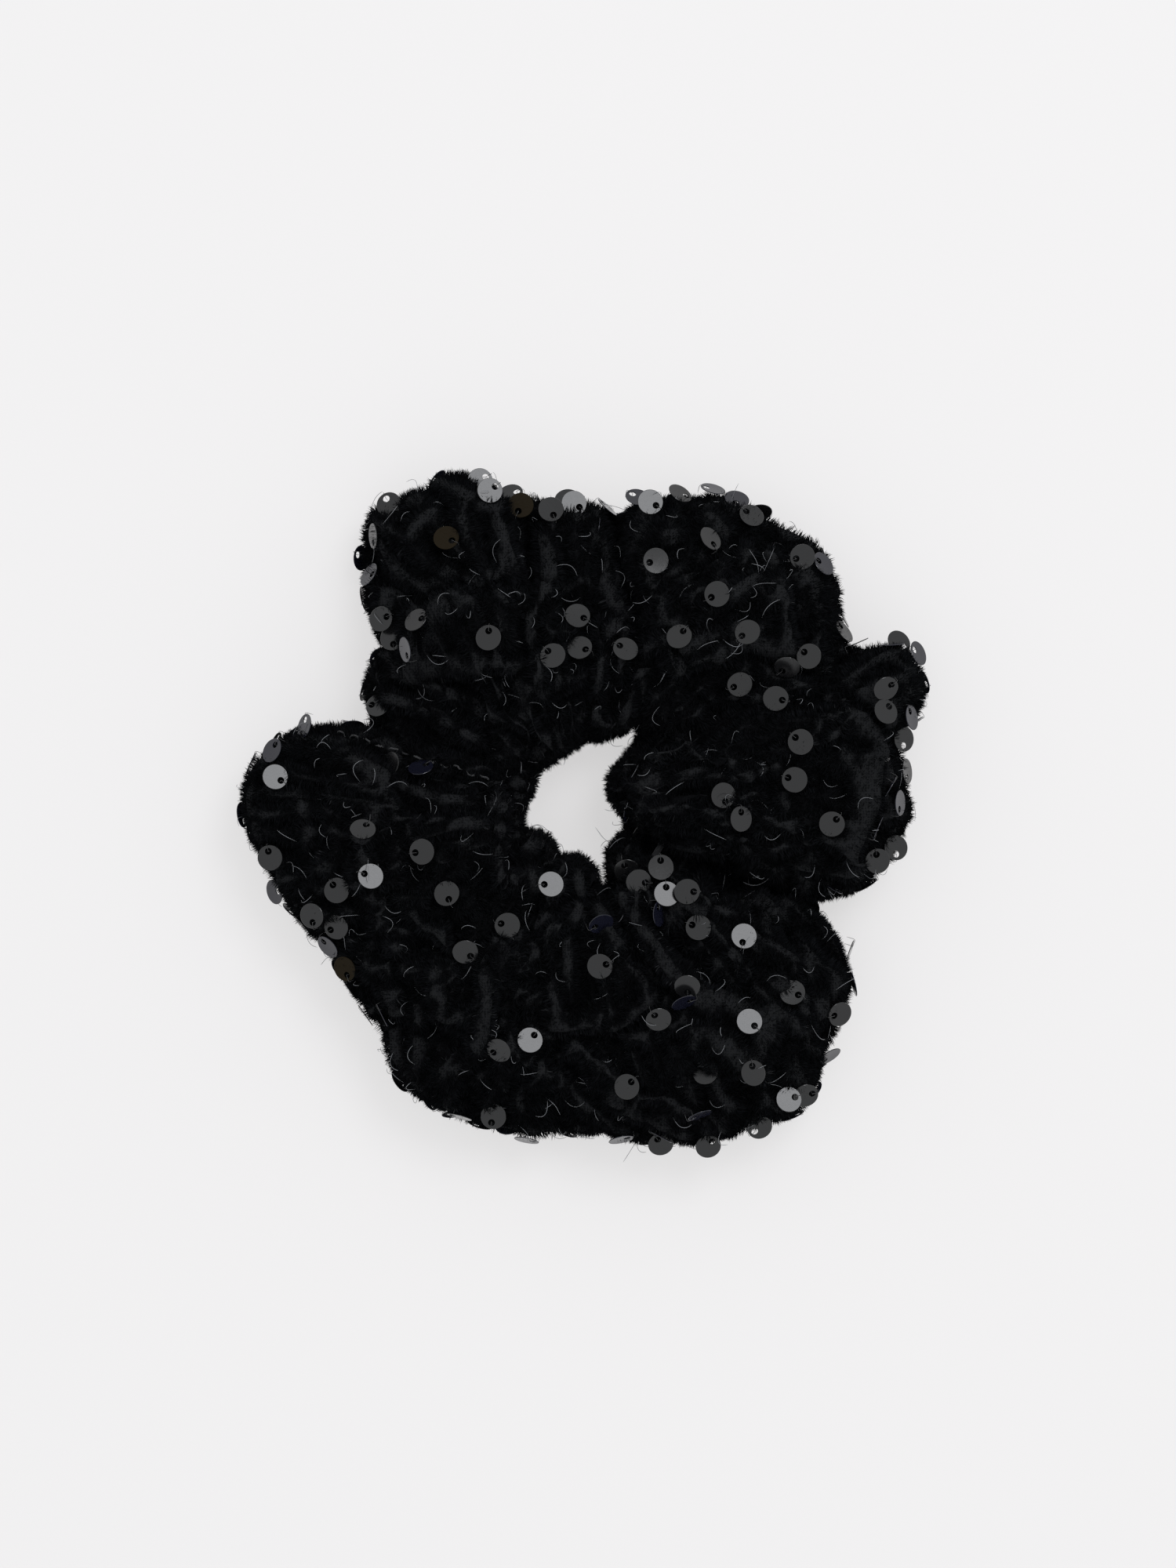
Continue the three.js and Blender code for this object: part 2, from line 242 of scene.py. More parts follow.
# The casing's outline and the hole's, round the tips of the pile, anticlockwise in
# millimetres.
OUTLINE = [
    (65, 0), (64.5, 3.5), (64, 7), (63.2, 10), (62.8, 13), (64.2, 17.2), (66.5, 20), (67.6, 24),
    (67, 27.5), (65, 29.8), (63.7, 31.4), (61.5, 32.3), (58, 31.5), (55.5, 30.7), (54.3, 30.7),
    (52.7, 32), (51.8, 35), (51, 38), (51, 42), (50.5, 45.5), (49, 49.5), (46.5, 52.3), (43, 54.3),
    (39, 56), (35.5, 57.8), (32, 60), (30, 61.5), (27, 62.3), (24, 61.5), (20, 61.2), (15.5, 61),
    (12, 60.3), (10, 60), (8.2, 57.6), (6, 59), (3.5, 60), (0, 61), (-5, 61.3), (-10, 61.2),
    (-14, 61.3), (-16, 61.8), (-18.5, 64), (-21, 65.5), (-25.5, 66.3), (-28.5, 65.3), (-31, 63),
    (-35, 62), (-38, 60), (-41, 59.3), (-42.8, 57.5), (-42.7, 53), (-43.2, 49), (-42.7, 44),
    (-42, 40), (-40.5, 36), (-38.6, 32.5), (-41, 30.5), (-42, 28), (-43, 25), (-42.8, 22),
    (-41.5, 19.5), (-42.5, 17), (-42.7, 15), (-42.9, 13.6), (-47, 14.2), (-52, 14.8), (-56, 14.8),
    (-59, 13), (-61, 10.5), (-64, 8.8), (-66.3, 6), (-66.8, 2), (-66.3, -2), (-65.3, -5),
    (-63.5, -9), (-61, -13), (-58.8, -17), (-56.5, -21), (-53.5, -24.5), (-50.5, -27), (-48, -30.5),
    (-46.3, -34), (-44.5, -37.5), (-42, -40.5), (-39.8, -44), (-38, -47), (-37, -51), (-35, -54.5),
    (-32, -57), (-28, -59), (-24, -61), (-19, -62.7), (-14, -64), (-9, -64.8), (-4, -64.4),
    (0, -64.6), (5, -64.5), (7, -64.8), (11, -65.5), (16, -66.2), (21, -66), (25, -65.3),
    (29, -64.6), (32.5, -63), (36.5, -62), (40.5, -61), (43.5, -59), (45.8, -55.5), (46.5, -51),
    (47.5, -48.3), (49.8, -45), (51, -41.5), (52.5, -38), (52.8, -34.5), (51.8, -30.5), (51, -27),
    (49, -24), (46.5, -21.5), (44.5, -19), (45.3, -18.3), (49, -17.3), (52, -16.5), (55, -15.5),
    (57.5, -13.5), (60, -10.5), (61.5, -8), (63, -5), (64.5, -2),
]
HOLE = [
    (6.3, 0.3), (7.8, -1), (8.3, -3.5), (6.5, -5), (5.2, -7), (4.9, -9.5), (5.3, -11.5), (6.5, -13.5),
    (4.8, -16.5), (2.4, -15.5), (1.3, -12), (1.2, -10), (0.8, -8.8), (-1, -8.3), (-3, -8.8), (-5, -9),
    (-5.2, -7), (-6, -5.2), (-8, -4.3), (-11, -3.9), (-11, -2), (-11.2, 0), (-10, 0.5), (-9.9, 2.5),
    (-9, 4), (-8.7, 6), (-8.5, 7), (-7.5, 7.2), (-6, 8), (-4, 9.8), (-2, 10.6), (-0.5, 12.7),
    (3, 12.8), (5.6, 13.3), (6.2, 13.6), (8, 15.6), (10.5, 16.6), (13.5, 16), (14, 12.3), (11, 10.4),
    (9, 9.6), (7.2, 8.2), (5.3, 7), (4.6, 5), (4.6, 2.5), (5, 1.5), (6, 1.2),
]
HOLE_LIMIT = 18.2 * MM  # of the cloth at the hole, inside the elastic

# Folds that are pressed in: the line each runs along on the table plane, in
# millimetres, with its kind, height and width. A lap's upper layer is on its left.
FOLDS = [
    ("groove", 7, 3.2, [(8, 61), (8.7, 50), (12, 35.5), (10, 27.5), (4, 15.5)]),
    ("groove", 6, 3.0, [(-10.5, 59), (-11, 40.5), (-10.5, 29.5)]),
    ("lap", 3.6, 4.0, [(-40, 31.5), (-29.5, 29), (-19.5, 30), (-11, 29.5), (-6, 19)]),
    ("lap", 3.6, 4.0, [(-12, -0.5), (-23, 0.5), (-34, 2.5), (-44, 14)]),
    ("groove", 5, 3.0, [(-44, 14), (-34, 3.5), (-23, 2), (-11, 1)]),
    ("groove", 8, 3.4, [(44, -18), (32, -14.5), (21, -11.5), (9, -5.5)]),
    ("lap", 3.0, 3.6, [(14, 25.5), (21, 30), (32, 34), (43, 32), (53, 31.5)]),
    ("lap", 4.2, 4.0, [(43, -44.5), (33, -42), (22, -36.5), (12.5, -25), (6.5, -12.5)]),
    ("lap", 2.4, 3.0, [(-3.5, -9.5), (-6.5, -21), (-4, -40), (-3.5, -46)]),
    ("lap", 2.8, 3.4, [(15, -40), (6, -28.5), (2.5, -19.5), (0, -8.5)]),
    ("ridge", 2.2, 1.8, [(-15.5, -25), (-18, -35), (-21.5, -50)]),
    ("ridge", 1.8, 1.6, [(-27, -21), (-27.5, -35), (-30.5, -44)]),
    ("ridge", 2.4, 1.8, [(-3.5, -46), (2.5, -52), (12, -58), (22, -63)]),
    ("groove", 2.6, 2.0, [(-5, -50), (1, -56), (9, -61)]),
    ("ridge", 2.0, 1.6, [(38, 53.5), (40, 40.5), (43, 31.5)]),
    ("ridge", 2.0, 1.8, [(29.5, 40.5), (34.5, 44), (38, 40)]),
    ("lap", 2.4, 3.0, [(-21.5, 42.5), (-31.5, 38.5), (-41, 43.5)]),
    ("lap", 2.6, 3.0, [(52.5, -12), (57, 1), (57.5, 12), (52.5, 19.5)]),
    ("ridge", 1.8, 2.2, [(5.5, 5.5), (9, 10), (21, 11.5), (33, 10)]),
    ("ridge", 1.8, 1.4, [(-9, 46), (-9.5, 34), (-8.5, 24)]),
    ("ridge", 1.6, 1.4, [(3, 40), (3.5, 30), (1.5, 20)]),
    ("groove", 2.2, 1.8, [(-37, -20.5), (-31, -26), (-36, -30)]),
]


def casing_sections(steps, turns):
    """The CAD casing as distances from a line inside its tube, read by casting rays
    inwards: (hub line's distance from the hole's centre, distances by angle and turn)."""
    tree, centre = cover_tree(), ring_centre()
    hub = Vector((centre.x, centre.y, HUB_HEIGHT))
    line = np.zeros(steps)
    reach = np.zeros((steps, turns))
    far, margin = 0.12, 5 * MM
    for i in range(steps):
        angle = 2 * math.pi * (i + 0.5) / steps
        outward = Vector((math.cos(angle), math.sin(angle), 0))
        edge = (tree.ray_cast(hub, outward)[0] - hub).length
        rim = (tree.ray_cast(hub + outward * far, -outward)[0] - hub).length
        line[i] = (edge + rim) / 2
        aim = hub + outward * line[i]
        for j in range(turns):
            turn = 2 * math.pi * j / turns
            ray = outward * math.cos(turn) + Vector((0, 0, math.sin(turn)))
            start = aim + ray * ((rim - edge) / 2 + margin if math.cos(turn) < 0 else far / 2)
            reach[i, j] = (tree.ray_cast(start, -ray)[0] - aim).length
    return soften(line, 3, 0), soften(soften(reach, 3, 0), 2, 1)


def at_grid(values, rows, columns):
    """Values of a grid that closes both ways, at fractional rows and columns."""
    r0, c0 = np.floor(rows).astype(int), np.floor(columns).astype(int)
    fr, fc = (rows - r0)[:, None], (columns - c0)[None]
    count_r, count_c = values.shape

    def corner(dr, dc):
        return values[np.ix_((r0 + dr) % count_r, (c0 + dc) % count_c)]

    low = corner(0, 0) * (1 - fc) + corner(0, 1) * fc
    high = corner(1, 0) * (1 - fc) + corner(1, 1) * fc
    return low * (1 - fr) + high * fr


def gathered_ring(inset):
    """The cloth's starting shape: the CAD casing's skin, set in by inset, cut along the
    long seam. Rows run round the ring and columns round the tube."""
    line, reach = casing_sections(360, 96)
    centre = ring_centre()
    around = (np.arange(RING_STEPS) + 0.5) / RING_STEPS
    turn = SEAM_TURN - 2 * math.pi + np.linspace(SEAM_OPENING, 2 * math.pi - SEAM_OPENING, TUBE_STEPS)
    rows = around * len(line) - 0.5
    distance = at_grid(reach, rows, turn / (2 * math.pi) * reach.shape[1]) - inset
    hub = np.interp(rows, np.arange(len(line)), line, period=len(line))
    radius = hub[:, None] + distance * np.cos(turn)
    height = HUB_HEIGHT + distance * np.sin(turn)
    angle = 2 * np.pi * around[:, None]
    return np.stack([centre.x + radius * np.cos(angle), centre.y + radius * np.sin(angle),
                     np.maximum(height, inset / 2)], -1)


def grid_normals(points):
    """Normals of a grid whose rows close on themselves, pointing out of the tube."""
    along = np.roll(points, -1, 0) - np.roll(points, 1, 0)
    across = np.gradient(points, axis=1)
    return unit(np.cross(along, across))


def distance_to_line(points, line):
    """For each point of the table plane: its signed distance to a line, positive on the
    line's left, the nearest point's share of the line's length, and the way to the left."""
    line = np.asarray(line, float) * MM
    lengths = np.linalg.norm(np.diff(line, axis=0), axis=1)
    starts = np.concatenate([[0], np.cumsum(lengths)])
    best = np.full(points.shape[0], 1e9)
    signed, share = np.zeros_like(best), np.zeros_like(best)
    left_way = np.zeros((len(best), 2))
    for k, length in enumerate(lengths):
        ahead = (line[k + 1] - line[k]) / length
        offset = points - line[k]
        t = np.clip(offset @ ahead, 0, length)
        gap = offset - t[:, None] * ahead
        distance = np.linalg.norm(gap, axis=1)
        left = ahead[0] * offset[:, 1] - ahead[1] * offset[:, 0]
        nearer = distance < best
        best = np.where(nearer, distance, best)
        signed = np.where(nearer, np.copysign(distance, left), signed)
        share = np.where(nearer, (starts[k] + t) / starts[-1], share)
        left_way[nearer] = np.array([-ahead[1], ahead[0]])
    return signed, share, left_way


def ray_lengths(loop, angles):
    """Distances from the ring's centre to a closed line of points, at each angle: the
    nearest crossings and the farthest."""
    centre = ring_centre()
    start = np.array(loop) * MM - np.array([centre.x, centre.y])
    edge = np.roll(start, -1, 0) - start
    ray = np.stack([np.cos(angles), np.sin(angles)], -1)[:, None]
    across = ray[..., 0] * edge[:, 1] - ray[..., 1] * edge[:, 0]
    reach = (start[:, 0] * edge[:, 1] - start[:, 1] * edge[:, 0]) / across
    share = (start[:, 0] * ray[..., 1] - start[:, 1] * ray[..., 0]) / across
    hit = (share >= 0) & (share <= 1) & (reach > 0)
    return np.where(hit, reach, 1.0).min(1), np.where(hit, reach, 0.0).max(1)


def fit_outline(points, inset):
    """Moves each row of the cloth in or out to keep to the outline and the hole."""
    centre = ring_centre()
    offset = points[..., :2] - np.array([centre.x, centre.y])
    radius = np.linalg.norm(offset, axis=-1)
    rows = np.arange(len(points))
    outer, inner = radius.argmax(1), radius.argmin(1)
    direction = offset / radius[..., None]
    angle = np.arctan2(direction[..., 1], direction[..., 0])
    rim = ray_lengths(OUTLINE, angle[rows, outer])[1] - 0.4 * inset
    edge = np.minimum(ray_lengths(HOLE, angle[rows, inner])[0] + 0.65 * inset, HOLE_LIMIT)
    most, least = radius[rows, outer], radius[rows, inner]
    middle = ((most + least) / 2)[:, None]
    outwards = smoothstep((radius - middle) / (most[:, None] - middle))
    inwards = smoothstep((middle - radius) / (middle - least[:, None]))
    shift = outwards * soften(rim - most, 1.2, 0)[:, None] + inwards * soften(edge - least, 1.5, 0)[:, None]
    moved = points.copy()
    moved[..., :2] += direction * shift[..., None]
    return moved


def press_folds(points):
    """Moves the top of the cloth to hold every fold of FOLDS."""
    flat = points.reshape(-1, 3).copy()
    up = grid_normals(points).reshape(-1, 3)[:, 2]
    facing = smoothstep((up + 0.15) / 0.6)
    for kind, height, width, line in FOLDS:
        height, width = height * MM, width * MM
        signed, share, left = distance_to_line(flat[:, :2], line)
        ends = smoothstep(share / 0.12) * smoothstep((1 - share) / 0.12)
        amount = facing * (0.25 + 0.75 * ends)
        near = np.exp(-((signed / width) ** 2))
        if kind == "groove":
            flat[:, 2] -= amount * height * near
        elif kind == "ridge":
            flat[:, 2] += amount * height * near
        else:
            fade = np.exp(-((signed / (np.where(signed > 0, 2.6, 1.3) * width)) ** 2))
            flat[:, 2] += amount * height * np.tanh(signed / (0.3 * width)) * fade
            over = amount * 0.7 * width * np.exp(-((signed / (1.2 * width)) ** 2)) * (signed > -0.4 * width)
            flat[:, :2] -= left * over[:, None]
    return flat.reshape(points.shape)


# Fine creases of the finished cloth, as (height, width, line) in millimetres.
CREASES = [
    (1.5, 1.1, [(-7.5, 55), (-7.2, 47), (-7, 40)]),
    (1.3, 0.9, [(-5.5, 52), (-5.2, 44)]),
    (1.5, 1.0, [(-10.5, 41), (-10.2, 35), (-9.8, 29)]),
    (1.6, 1.2, [(-42, 42), (-36, 38.5), (-30, 37.5), (-24, 39), (-19, 42)]),
    (1.4, 1.0, [(-34, 52), (-31.5, 56), (-27, 59)]),
    (1.3, 1.0, [(-28.5, 50), (-26, 46), (-21, 44), (-15, 46)]),
    (1.4, 1.2, [(-41, 22), (-33, 20.5), (-26, 16.5), (-18, 12)]),
    (1.3, 1.0, [(-37, 25.5), (-29, 24), (-21, 20), (-15, 16)]),
    (1.6, 1.1, [(-46, 11), (-41, 8), (-36, 5), (-29, 2), (-20, 0.8), (-12, 0)]),
    (1.5, 1.0, [(36, 53), (37.5, 48), (39, 43), (40, 38)]),
    (1.4, 0.9, [(42.5, 45), (42, 40), (43.5, 35)]),
    (1.6, 1.1, [(29, 40), (31, 43.5), (34, 44.6), (37, 43.5), (38, 40)]),
    (1.3, 1.2, [(24, 60), (25.5, 56), (29, 52)]),
    (1.3, 1.0, [(12.5, 34), (12, 28), (9.5, 21), (7, 15)]),
    (1.3, 0.9, [(8.5, 33), (7, 25), (5.5, 18)]),
    (1.2, 0.9, [(4, 33), (3.5, 26), (2.5, 18)]),
    (1.5, 1.1, [(15, 27), (21, 31.5), (28, 34.5), (34, 37)]),
    (1.5, 1.1, [(24, 20), (31, 22.5), (36, 21)]),
    (1.5, 1.0, [(47, 17), (50, 13), (53, 7), (54, 0), (52, -6)]),
    (1.4, 1.0, [(55, 16), (59, 11), (60.5, 4)]),
    (1.3, 1.0, [(14, 4), (22, 6.5), (31, 6), (40, 9)]),
    (1.2, 0.9, [(12, -1), (20, 0.5), (28, -1.5)]),
    (1.5, 1.1, [(-37, -35), (-36.6, -41), (-36.5, -48)]),
    (1.3, 1.0, [(-32, -36), (-31.5, -43), (-32, -52)]),
    (1.4, 1.0, [(-28.3, -26), (-28.5, -32), (-27.5, -38)]),
    (1.5, 1.1, [(-20, -29), (-18, -36), (-19, -43), (-21.5, -51)]),
    (1.4, 0.9, [(-15.8, -33), (-15.3, -38), (-15.6, -43)]),
    (1.4, 0.9, [(-2.8, -24), (-2.5, -30), (-3, -36)]),
    (1.3, 1.0, [(-47, -25.5), (-41, -27), (-34, -27)]),
    (1.3, 1.0, [(-55, 3), (-53, -4), (-55, -11)]),
    (1.2, 0.9, [(-26, -3), (-21, -2.6), (-16, -4)]),
    (1.6, 1.1, [(0, -52), (6, -57), (14, -61), (24, -65)]),
    (1.3, 0.9, [(6, -54.5), (10, -58.5), (17, -61)]),
    (1.7, 1.1, [(5, -14), (11, -22), (17, -31), (23, -37.5), (29, -40)]),
    (1.4, 1.0, [(27, -14), (33, -16.8), (41, -18)]),
    (1.4, 1.0, [(35, -37), (40, -40.5), (43.5, -45)]),
    (1.2, 0.9, [(4, -42.5), (8, -44), (13, -44)]),
    (1.3, 1.0, [(24, -21), (31, -30), (35, -38)]),
    (1.3, 1.0, [(-9, -6), (-11, -10), (-9, -15), (-6, -18)]),
    (1.2, 1.0, [(-1, -11), (0, -17), (-1, -22)]),
]


def crease(points):
    """Lifts the fine creases on the upper side, and lesser random ones all over."""
    normals = grid_normals(points)
    flat = points.reshape(-1, 3)
    rise = np.zeros(len(flat))
    facing = smoothstep((normals.reshape(-1, 3)[:, 2] + 0.1) / 0.5)
    for height, width, line in CREASES:
        signed, share, _ = distance_to_line(flat[:, :2], line)
        ends = smoothstep(share / 0.15) * smoothstep((1 - share) / 0.15)
        sharp = np.exp(-np.abs(signed / (width * MM)) ** 1.5)
        beside = np.exp(-(((np.abs(signed) / (width * MM) - 2.1) / 1.0) ** 2))
        rise += height * MM * facing * ends * (sharp - 0.45 * beside)
    random = np.random.default_rng(41)
    around = 2 * np.pi * np.arange(points.shape[0])[:, None] / points.shape[0]
    down = np.linspace(0, 1, points.shape[1])[None]
    field = np.zeros(points.shape[:2])
    strength = np.zeros(points.shape[:2])
    waves = 10
    for _ in range(waves):
        phases = random.uniform(0, 2 * np.pi, 2)
        field += np.sin(random.integers(8, 26) * around + random.normal() * 13 * down + phases[0])
        strength += np.sin(random.integers(2, 14) * around + random.normal() * 9 * down + phases[1])
    field *= math.sqrt(2 / waves)
    strength = smoothstep(0.5 + 0.5 * strength * math.sqrt(2 / waves))
    fine = np.exp(-np.abs(field / 0.3) ** 1.5) - 0.35 * np.exp(-(((np.abs(field) - 0.75) / 0.3) ** 2))
    rise = rise.reshape(points.shape[:2]) + 0.7 * MM * strength * fine
    return points + normals * rise[..., None]


def pleat(points):
    """Adds the gathers that fan out from the hole's edge."""
    height, edge, fade = 0.75 * MM, 10 * MM, 17 * MM
    centre = ring_centre()
    offset = points[..., :2] - np.array([centre.x, centre.y])
    radius = np.linalg.norm(offset, axis=-1)
    angle = np.arctan2(offset[..., 1], offset[..., 0])
    swing = 0.35 * np.sin(3 * angle + 1) + 0.25 * np.sin(7 * angle)
    wander = swing * (radius - 9 * MM) / (30 * MM)
    wave = np.sin(31 * angle + 6 * wander) + 0.6 * np.sin(53 * angle - 9 * wander + 2)
    strength = np.exp(-(((radius - edge) / fade) ** 2)) + 0.25
    return points + grid_normals(points) * (height * wave * strength)[..., None]


def buckle(points, gather):
    """Runs the cloth: it holds more cloth than its shape has room for, so it wrinkles."""
    scale = 10.0  # the solver is steadier on a large cloth
    faces = ring_faces(RING_STEPS, TUBE_STEPS)
    mesh = mesh_from_arrays("casing_start", points.reshape(-1, 3) * scale, faces)
    cloth = new_object("casing_start", mesh)
    group = cloth.vertex_groups.new(name="held")
    from_seam = np.minimum(np.arange(TUBE_STEPS), TUBE_STEPS - 1 - np.arange(TUBE_STEPS))
    index = np.arange(RING_STEPS * TUBE_STEPS).reshape(RING_STEPS, TUBE_STEPS)
    for column, steps in enumerate(from_seam):
        hold = 0.16 + 0.6 * max(0, 1 - steps / 7)
        group.add([int(i) for i in index[:, column]], hold, "REPLACE")
    modifier = cloth.modifiers.new("cloth", "CLOTH")
    settings = modifier.settings
    settings.quality = 5
    settings.mass = 0.3
    settings.tension_stiffness = 15
    settings.compression_stiffness = 15
    settings.shear_stiffness = 5
    settings.bending_stiffness = 0.35
    settings.tension_damping = 5
    settings.compression_damping = 5
    settings.shear_damping = 5
    settings.bending_damping = 0.5
    settings.air_damping = 1
    settings.vertex_group_mass = "held"
    settings.pin_stiffness = 1
    settings.shrink_min = -gather
    settings.shrink_max = -gather
    settings.effector_weights.gravity = 0
    modifier.collision_settings.use_collision = False
    frames = 18
    modifier.point_cache.frame_start = 1
    modifier.point_cache.frame_end = frames
    for number in range(1, frames + 1):
        bpy.context.scene.frame_set(number)
    graph = bpy.context.evaluated_depsgraph_get()
    result = np.empty(RING_STEPS * TUBE_STEPS * 3, dtype=np.float32)
    cloth.evaluated_get(graph).data.vertices.foreach_get("co", result)
    bpy.context.scene.frame_set(1)
    bpy.data.objects.remove(cloth)
    return result.reshape(points.shape) / scale


def finer(points):
    """The cloth on more rows and columns, by a smooth curve through its points."""
    rows = np.arange(FINE_RING_STEPS) * RING_STEPS / FINE_RING_STEPS
    columns = np.linspace(0, TUBE_STEPS - 1, FINE_TUBE_STEPS)

    def through(values, at, closed):
        start = np.floor(at).astype(int)
        t = at - start
        picks = [start - 1, start, start + 1, start + 2]
        count = len(values)
        picks = [p % count if closed else np.clip(p, 0, count - 1) for p in picks]
        t = t[:, None, None]
        a, b, c, d = (values[p] for p in picks)
        return b + 0.5 * t * (c - a + t * (2 * a - 5 * b + 4 * c - d + t * (3 * (b - c) + d - a)))

    denser = through(points, rows, True)
    return through(denser.transpose(1, 0, 2), columns, False).transpose(1, 0, 2)


def relax(points, passes, amount=0.5):
    """Softens creases, leaving the seam's edges where they are."""
    for _ in range(passes):
        around = (np.roll(points, 1, 0) + np.roll(points, -1, 0)) / 2
        inner = points.copy()
        inner[:, 1:-1] = (points[:, 2:] + points[:, :-2]) / 2
        points = points + amount * ((around + inner) / 2 - points)
    return points


def seam_allowances(points):
    """Adds the strip's two long edges, turned in side by side at the long seam."""
    centre = ring_centre()
    away = points[:, 0] - np.array([centre.x, centre.y, 0])
    outward = unit(away * np.array([1, 1, 0]))
    middle = (points[:, 0] + points[:, -1]) / 2
    steps = np.linspace(1, 0, 4)[:-1]
    half_gap = 0.5 * MM
    flaps = []
    for edge, side in ((points[:, 0], -1), (points[:, -1], 1)):
        columns = []
        for share in steps:
            turned = middle + outward * (SEAM_ALLOWANCE * share) + np.array([0, 0, side * half_gap])
            blend = smoothstep(share * 1.5)
            columns.append(edge * (1 - blend) + turned * blend)
        flaps.append(np.stack(columns, 1))
    first, last = flaps
    return np.concatenate([first, points, last[:, ::-1]], axis=1)


def split_quads(quads):
    return np.concatenate([quads[:, :3], quads[:, [0, 2, 3]]])


def cloth_with_back(points, thickness):
    """One closed body of cloth: the given face, a back with half as many rows and
    columns, and the strip's two edges."""
    rows, columns = points.shape[:2]
    normals = grid_normals(points)
    normals = unit(soften(normals, 1.5, 0))
    kept = np.append(np.arange(0, columns, 2), columns - 1)
    back = (points - normals * thickness)[::2][:, kept]
    back[..., 2] = np.maximum(back[..., 2], thickness / 4)
    both = np.concatenate([points.reshape(-1, 3), back.reshape(-1, 3)])
    index = np.arange(rows * columns).reshape(rows, columns)
    back_index = rows * columns + np.arange(back.shape[0] * back.shape[1]).reshape(back.shape[:2])
    faces = [split_quads(ring_faces(rows, columns)),
             split_quads(ring_faces(*back.shape[:2])[:, ::-1] + rows * columns)]
    for column, flip in ((0, False), (-1, True)):
        first, second = index[::2, column], index[1::2, column]
        third, near = np.roll(first, -1), back_index[:, column]
        far = np.roll(near, -1)
        rim = np.concatenate([np.stack(corners, -1) for corners in (
            (second, first, near), (far, second, near), (third, second, far))])
        faces.append(rim[:, ::-1] if flip else rim)
    return both, np.concatenate(faces)


# ------------------------------------------------------------------------- materials


def node_material(name, colour, roughness, **sockets):
    """A Principled material: (material, node tree, its shader node)."""
    material = bpy.data.materials.new(name)
    material.use_nodes = True
    tree = material.node_tree
    shader = tree.nodes["Principled BSDF"]
    shader.inputs["Base Color"].default_value = (*colour, 1)
    shader.inputs["Roughness"].default_value = roughness
    for socket, value in sockets.items():
        shader.inputs[socket.replace("_", " ")].default_value = value
    return material, tree, shader


def add_noise(tree, size, detail=3.0, stretch=(1, 1, 1)):
    """Noise in the object's own coordinates, its lumps about size metres across."""
    place = tree.nodes.new("ShaderNodeTexCoord")
    mapping = tree.nodes.new("ShaderNodeMapping")
    mapping.inputs["Scale"].default_value = tuple(s / size for s in stretch)
    noise = tree.nodes.new("ShaderNodeTexNoise")
    noise.inputs["Scale"].default_value = 1
    noise.inputs["Detail"].default_value = detail
    tree.links.new(place.outputs["Object"], mapping.inputs["Vector"])
    tree.links.new(mapping.outputs["Vector"], noise.inputs["Vector"])
    return noise


def add_ramp(tree, source, shader, socket, stops):
    """Colours a shader's socket by a value: stops are (place, colour) pairs."""
    ramp = tree.nodes.new("ShaderNodeValToRGB")
    for element, (place, colour) in zip(ramp.color_ramp.elements, stops):
        element.position = place
        element.color = (*colour, 1)
    tree.links.new(source, ramp.inputs["Fac"])
    tree.links.new(ramp.outputs["Color"], shader.inputs[socket])
    return ramp


def add_bump(tree, source, shader, depth, strength=1.0):
    bump = tree.nodes.new("ShaderNodeBump")
    bump.inputs["Distance"].default_value = depth
    bump.inputs["Strength"].default_value = strength
    tree.links.new(source, bump.inputs["Height"])
    tree.links.new(bump.outputs["Normal"], shader.inputs["Normal"])


def tinted(colour, factor):
    return tuple(channel * factor for channel in colour)


KNIT_GROUND = (0.0042, 0.0043, 0.0048)  # between the tufts
# Painted highlight: the knit's colour over the crests, where the pile parts.
KNIT_CREST_HIGHLIGHT = (0.014, 0.0145, 0.0155)  # where the pile parts over a crest


def knit_material():
    """The velvet's knitted back, in rows of loops, with a painted highlight: its colour is painted lightest
    over the crests, where the pile parts.
    """
    material, tree, shader = node_material("velvet_knit", KNIT_GROUND, 0.9)
    shader.inputs["Specular IOR Level"].default_value = 0
    place = tree.nodes.new("ShaderNodeTexCoord")
    loops = tree.nodes.new("ShaderNodeTexVoronoi")
    loops.inputs["Scale"].default_value = 1 / (0.55 * MM)
    loops.inputs["Randomness"].default_value = 0.35
    tree.links.new(place.outputs["Object"], loops.inputs["Vector"])
    crest = tree.nodes.new("ShaderNodeAttribute")
    crest.attribute_name = "crest"
    # Painted highlight: the loops' edges are painted lighter where the crest mask is high.
    crest_highlight_mask = tree.nodes.new("ShaderNodeMath")
    crest_highlight_mask.operation = "MULTIPLY"
    tree.links.new(loops.outputs["Distance"], crest_highlight_mask.inputs[0])
    tree.links.new(crest.outputs["Fac"], crest_highlight_mask.inputs[1])
    add_ramp(tree, crest_highlight_mask.outputs["Value"], shader, "Base Color",
             [(0.05, KNIT_GROUND), (0.5, KNIT_CREST_HIGHLIGHT)])
    add_bump(tree, loops.outputs["Distance"], shader, 0.15 * MM)
    return material


def pile_material(name, colour, roughness, specular):
    """One shade of the pile, a little uneven from tuft to tuft."""
    material, tree, shader = node_material(name, colour, roughness)
    shader.inputs["Specular IOR Level"].default_value = specular
    noise = add_noise(tree, 2.2 * MM)
    add_ramp(tree, noise.outputs["Fac"], shader, "Base Color",
             [(0.35, tinted(colour, 0.7)), (0.65, tinted(colour, 1.5))])
    return material


def sequin_material(name, colour, roughness, specular=0.5):
    """Glossy film with faint rolling marks."""
    material, tree, shader = node_material(name, colour, roughness)
    shader.inputs["IOR"].default_value = 1.5
    shader.inputs["Specular IOR Level"].default_value = specular
    noise = add_noise(tree, 0.6 * MM, 3.0, (1, 7, 1))
    add_ramp(tree, noise.outputs["Fac"], shader, "Roughness",
             [(0.3, (roughness * 0.85,) * 3), (0.75, (roughness * 1.4,) * 3)])
    add_bump(tree, noise.outputs["Fac"], shader, 0.004 * MM, 0.12)
    return material


